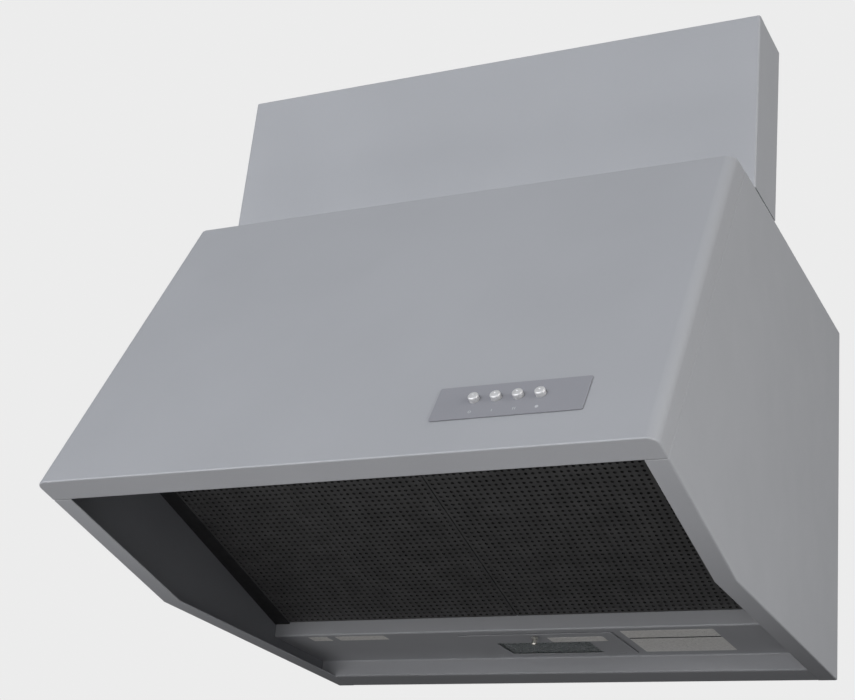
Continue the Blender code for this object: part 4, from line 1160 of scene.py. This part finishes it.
def build_damper():
    """Flap with a pressed ring and a turned-down rim."""
    size = extent("damper_flap")
    radius = size.x / 2
    thick = size.z
    top = [(0, thick), (0.040, thick)]
    top += [(0.0415, thick + 0.0010), (0.0455, thick + 0.0010), (0.047, thick)]
    top += [(radius - 0.0006, thick), (radius, thick * 0.6)]
    under = [(radius, thick * 0.2), (radius - 0.0006, 0), (0, 0)]
    shape = lathe(top + under, on_foot("damper_flap"), 72)
    finish_piece("damper_disc", shape, "galvanised_sheet", "damper_flap", edge=0)


def fan_frame():
    """On the fan's axis, with local z out of the wall."""
    middle = centre("impeller_hub")
    return axes_frame((1, 0, 0), (0, 0, 1), (middle.x, 0, middle.z))


def fan_span(node):
    """Nearest and farthest distance from the wall."""
    return -high(node).y, -low(node).y


def build_inlet_ring():
    """Bellmouth that curves smoothly from its flange into the inlet."""
    near, far = fan_span("inlet_ring")
    flange = extent("inlet_ring").x / 2
    neck = INLET_NECK
    face = far - SHEET
    profile = [(flange, face), (neck, face), (neck, near), (neck - 0.0012, near)]
    profile += arc((neck + 0.0018, far - 0.003), (-0.003, 0.003), 0, 90, 8) + [(flange, far)]
    shape = lathe(profile, fan_frame(), 72)
    finish_piece("inlet_bellmouth", shape, "galvanised_sheet", "inlet_ring", edge=0)


def build_impeller():
    """Drum of forward-curved blades between three rings."""
    near, far = fan_span("fan_impeller")
    hub = fan_span("impeller_hub")[0]
    outer = extent("fan_impeller").x / 2
    inner = outer - 0.015
    shape = bmesh.new()
    for start, thick in ((near, 0.002), (hub, 0.002), (far - 0.002, 0.002)):
        merge(shape, lathe(
            [(outer, start), (outer, start + thick), (inner, start + thick), (inner, start)],
            Matrix.Identity(4), 72,
        ))
    for index in range(FAN_BLADES):
        spin = Matrix.Rotation(math.tau * index / FAN_BLADES, 4, "Z")
        merge(shape, blade_shape(inner + 0.0007, outer - 0.0007, near + 0.001, far - 0.001, spin))
    shape = moved(shape, fan_frame())
    finish_piece("fan_drum", shape, "galvanised_sheet", "fan_impeller", edge=0, angle=40)


def blade_shape(inner, outer, bottom, top, spin):
    """Thin blade whose cross-section bends forwards as it goes outwards."""
    half = 0.0004
    steps = 6
    path = []
    for step in range(steps + 1):
        share = step / steps
        radius = inner + (outer - inner) * share
        lean = 0.065 * math.sin(share * math.pi / 2) ** 2
        path.append(Vector((radius * math.cos(lean), radius * math.sin(lean))))
    left = []
    right = []
    for i, point in enumerate(path):
        along = (path[min(i + 1, steps)] - path[max(i - 1, 0)]).normalized()
        across = Vector((-along.y, along.x)) * half
        left.append(tuple(point + across))
        right.append(tuple(point - across))
    return plate_shape(right + list(reversed(left)), bottom, top, spin)


def build_hub():
    """Pressed hub plate with two stiffening steps and a boss."""
    near, far = fan_span("impeller_hub")
    rim = extent("impeller_hub").x / 2
    thick = 0.002
    back = [(0.0043, near), (0.030, near), (0.034, near + 0.0005), (rim, near + 0.0005)]
    front = [
        (rim, near + thick), (0.062, near + thick), (0.058, near + thick + 0.003),
        (0.034, near + thick + 0.003), (0.030, near + thick), (0.012, near + thick),
        (0.012, far), (0.0043, far),
    ]
    shape = lathe(back + front, fan_frame(), 72)
    finish_piece("fan_hub_plate", shape, "galvanised_sheet", "impeller_hub", edge=0)


def build_motor():
    """Motor can with end bells, a clamping band and a mounting flange."""
    near, far = fan_span("fan_motor")
    radius = MOTOR_RADIUS
    profile = [(0, near), (0.054, near), (0.054, near + 0.004), (radius, near + 0.004)]
    for ring in range(5):
        start = near + 0.010 + ring * 0.008
        profile += [(radius, start), (radius - 0.0012, start + 0.001),
                    (radius - 0.0012, start + 0.003), (radius, start + 0.004)]
    profile += arc((radius - 0.012, far - 0.016), (0.012, 0.010), 0, 90, 6)
    profile += [(0.014, far - 0.006), (0.014, far - 0.001), (0.013, far), (0.0044, far)]
    profile += [(0.0044, far - 0.014), (0, far - 0.014)]
    shape = lathe(profile, fan_frame(), 64)
    finish_piece("fan_motor_can", shape, "motor_enamel", "fan_motor", edge=0)


def build_gland():
    """Cable gland with a ribbed nut."""
    tall = extent("mains_gland").z
    collar = 0.0123
    profile = [
        (0.0045, 0), (0.0080, 0), (0.0080, collar), (0.0125, collar), (0.0125, collar + 0.008),
        (0.0118, collar + 0.0095), (0.0104, tall - 0.0012), (0.0094, tall), (0.0045, tall),
    ]
    shape = lathe(profile, Matrix.Identity(4), 48)
    knurl(shape, 48, collar, tall + 1, 0.0100, 4, 0.955)
    shape = moved(shape, on_foot("mains_gland"))
    finish_piece("mains_gland_nut", shape, "dark_plastic", "mains_gland", edge=0)


def build_dressed():
    """Plain CAD shapes that only need their edges broken and a finished surface."""
    for look, nodes in {
        "galvanised_sheet": (
            "top_plate", "back_plate", "curtain_bracket_left", "curtain_bracket_right",
            "lamp_housing", "fan_casing", "switch_bracket",
        ),
        "black_paint": ("front_liner", "filter_rail_left", "filter_rail_right"),
        "zinc_plating": ("filter_hinge_rod", "motor_shaft", "damper_pin"),
        "dark_plastic": (
            "filter_catch_left", "filter_catch_right", "lamp_socket", "impeller_nut",
            "switch_block", "terminal_block",
        ),
        "grey_plastic": ("terminal_box", "terminal_lid", "motor_capacitor"),
        "lead_sheath": ("switch_lead", "motor_lead", "lamp_lead"),
    }.items():
        for node in nodes:
            dress(node, look)


# ---- camera, floor and lights


def build_camera():
    camera = bpy.data.objects.new("camera", bpy.data.cameras.new("camera"))
    bpy.context.scene.collection.objects.link(camera)
    camera.location = CAMERA_PLACE
    camera.rotation_euler = [math.radians(angle) for angle in CAMERA_TURN]
    camera.data.lens = CAMERA_LENS
    camera.data.shift_x, camera.data.shift_y = CAMERA_SHIFT
    bpy.context.scene.camera = camera


def floor_material():
    look = Look("floor", (0.80, 0.80, 0.80), 0.85)
    look.base(look.tint(look.clouds(2.0), 0.985, 1.0))
    look.put("Emission Strength", FLOOR_GLOW)
    return look.material


def build_stage():
    """Pale floor well below the hood, and a pale dome that only the camera sees."""
    floor = add_object("floor", box_shape(
        (-FLOOR_HALF, -FLOOR_HALF, FLOOR_HEIGHT - 0.02), (FLOOR_HALF, FLOOR_HALF, FLOOR_HEIGHT)
    ))
    floor.data.materials.append(floor_material())
    floor.visible_diffuse = False
    floor.visible_glossy = False
    shape = bmesh.new()
    bmesh.ops.create_icosphere(shape, subdivisions=4, radius=DOME_RADIUS)
    dome = add_object("backdrop", shape)
    glow = bpy.data.materials.new("backdrop")
    glow.use_nodes = True
    tree = glow.node_tree
    tree.nodes.clear()
    light = tree.nodes.new("ShaderNodeEmission")
    light.inputs["Color"].default_value = (DOME_GLOW, DOME_GLOW, DOME_GLOW, 1)
    output = tree.nodes.new("ShaderNodeOutputMaterial")
    tree.links.new(light.outputs["Emission"], output.inputs["Surface"])
    dome.data.materials.append(glow)
    dome.visible_diffuse = False
    dome.visible_glossy = False
    dome.visible_transmission = False
    dome.visible_shadow = False


def build_area_light(name, place, target, size, power, colour):
    data = bpy.data.lights.new(name, "AREA")
    data.shape = "RECTANGLE"
    data.size, data.size_y = size
    data.energy = power
    data.color = colour
    light = bpy.data.objects.new(name, data)
    bpy.context.scene.collection.objects.link(light)
    light.visible_camera = False
    light.location = place
    aim = Vector(target) - Vector(place)
    light.rotation_euler = aim.to_track_quat("-Z", "Y").to_euler()


def build_world():
    """Even studio light that fades out below the horizon."""
    world = bpy.data.worlds.new("studio")
    bpy.context.scene.world = world
    world.use_nodes = True
    nodes = world.node_tree.nodes
    links = world.node_tree.links
    background = nodes["Background"]
    background.inputs["Color"].default_value = (0.97, 0.98, 1.0, 1)
    direction = nodes.new("ShaderNodeTexCoord")
    parts = nodes.new("ShaderNodeSeparateXYZ")
    fade = nodes.new("ShaderNodeMapRange")
    for socket, value in zip(("From Min", "From Max", "To Min", "To Max"), WORLD_FADE):
        fade.inputs[socket].default_value = value
    links.new(direction.outputs["Generated"], parts.inputs["Vector"])
    links.new(parts.outputs["Z"], fade.inputs["Value"])
    links.new(fade.outputs["Result"], background.inputs["Strength"])


def build_lights():
    for light in LIGHTS:
        build_area_light(*light)
    bpy.context.scene.view_settings.view_transform = "Standard"


def build_hood():
    build_face()
    for side in ("left", "right"):
        for build in (build_side, build_filter_frame, build_filter_screen, build_filter_pad):
            build(side)
    for node in BUTTONS:
        build_button(node)
    for build in (
        build_curtain, build_trough, build_lamp_cover, build_lamp_window, build_thumbscrew,
        build_lamp_bulb, build_labels, build_switch_plate, build_marks, build_screws,
        build_duct_collar, build_damper, build_inlet_ring, build_impeller, build_hub,
        build_motor, build_gland, build_dressed,
    ):
        build()


build_camera()
build_stage()
build_world()
build_lights()
build_hood()
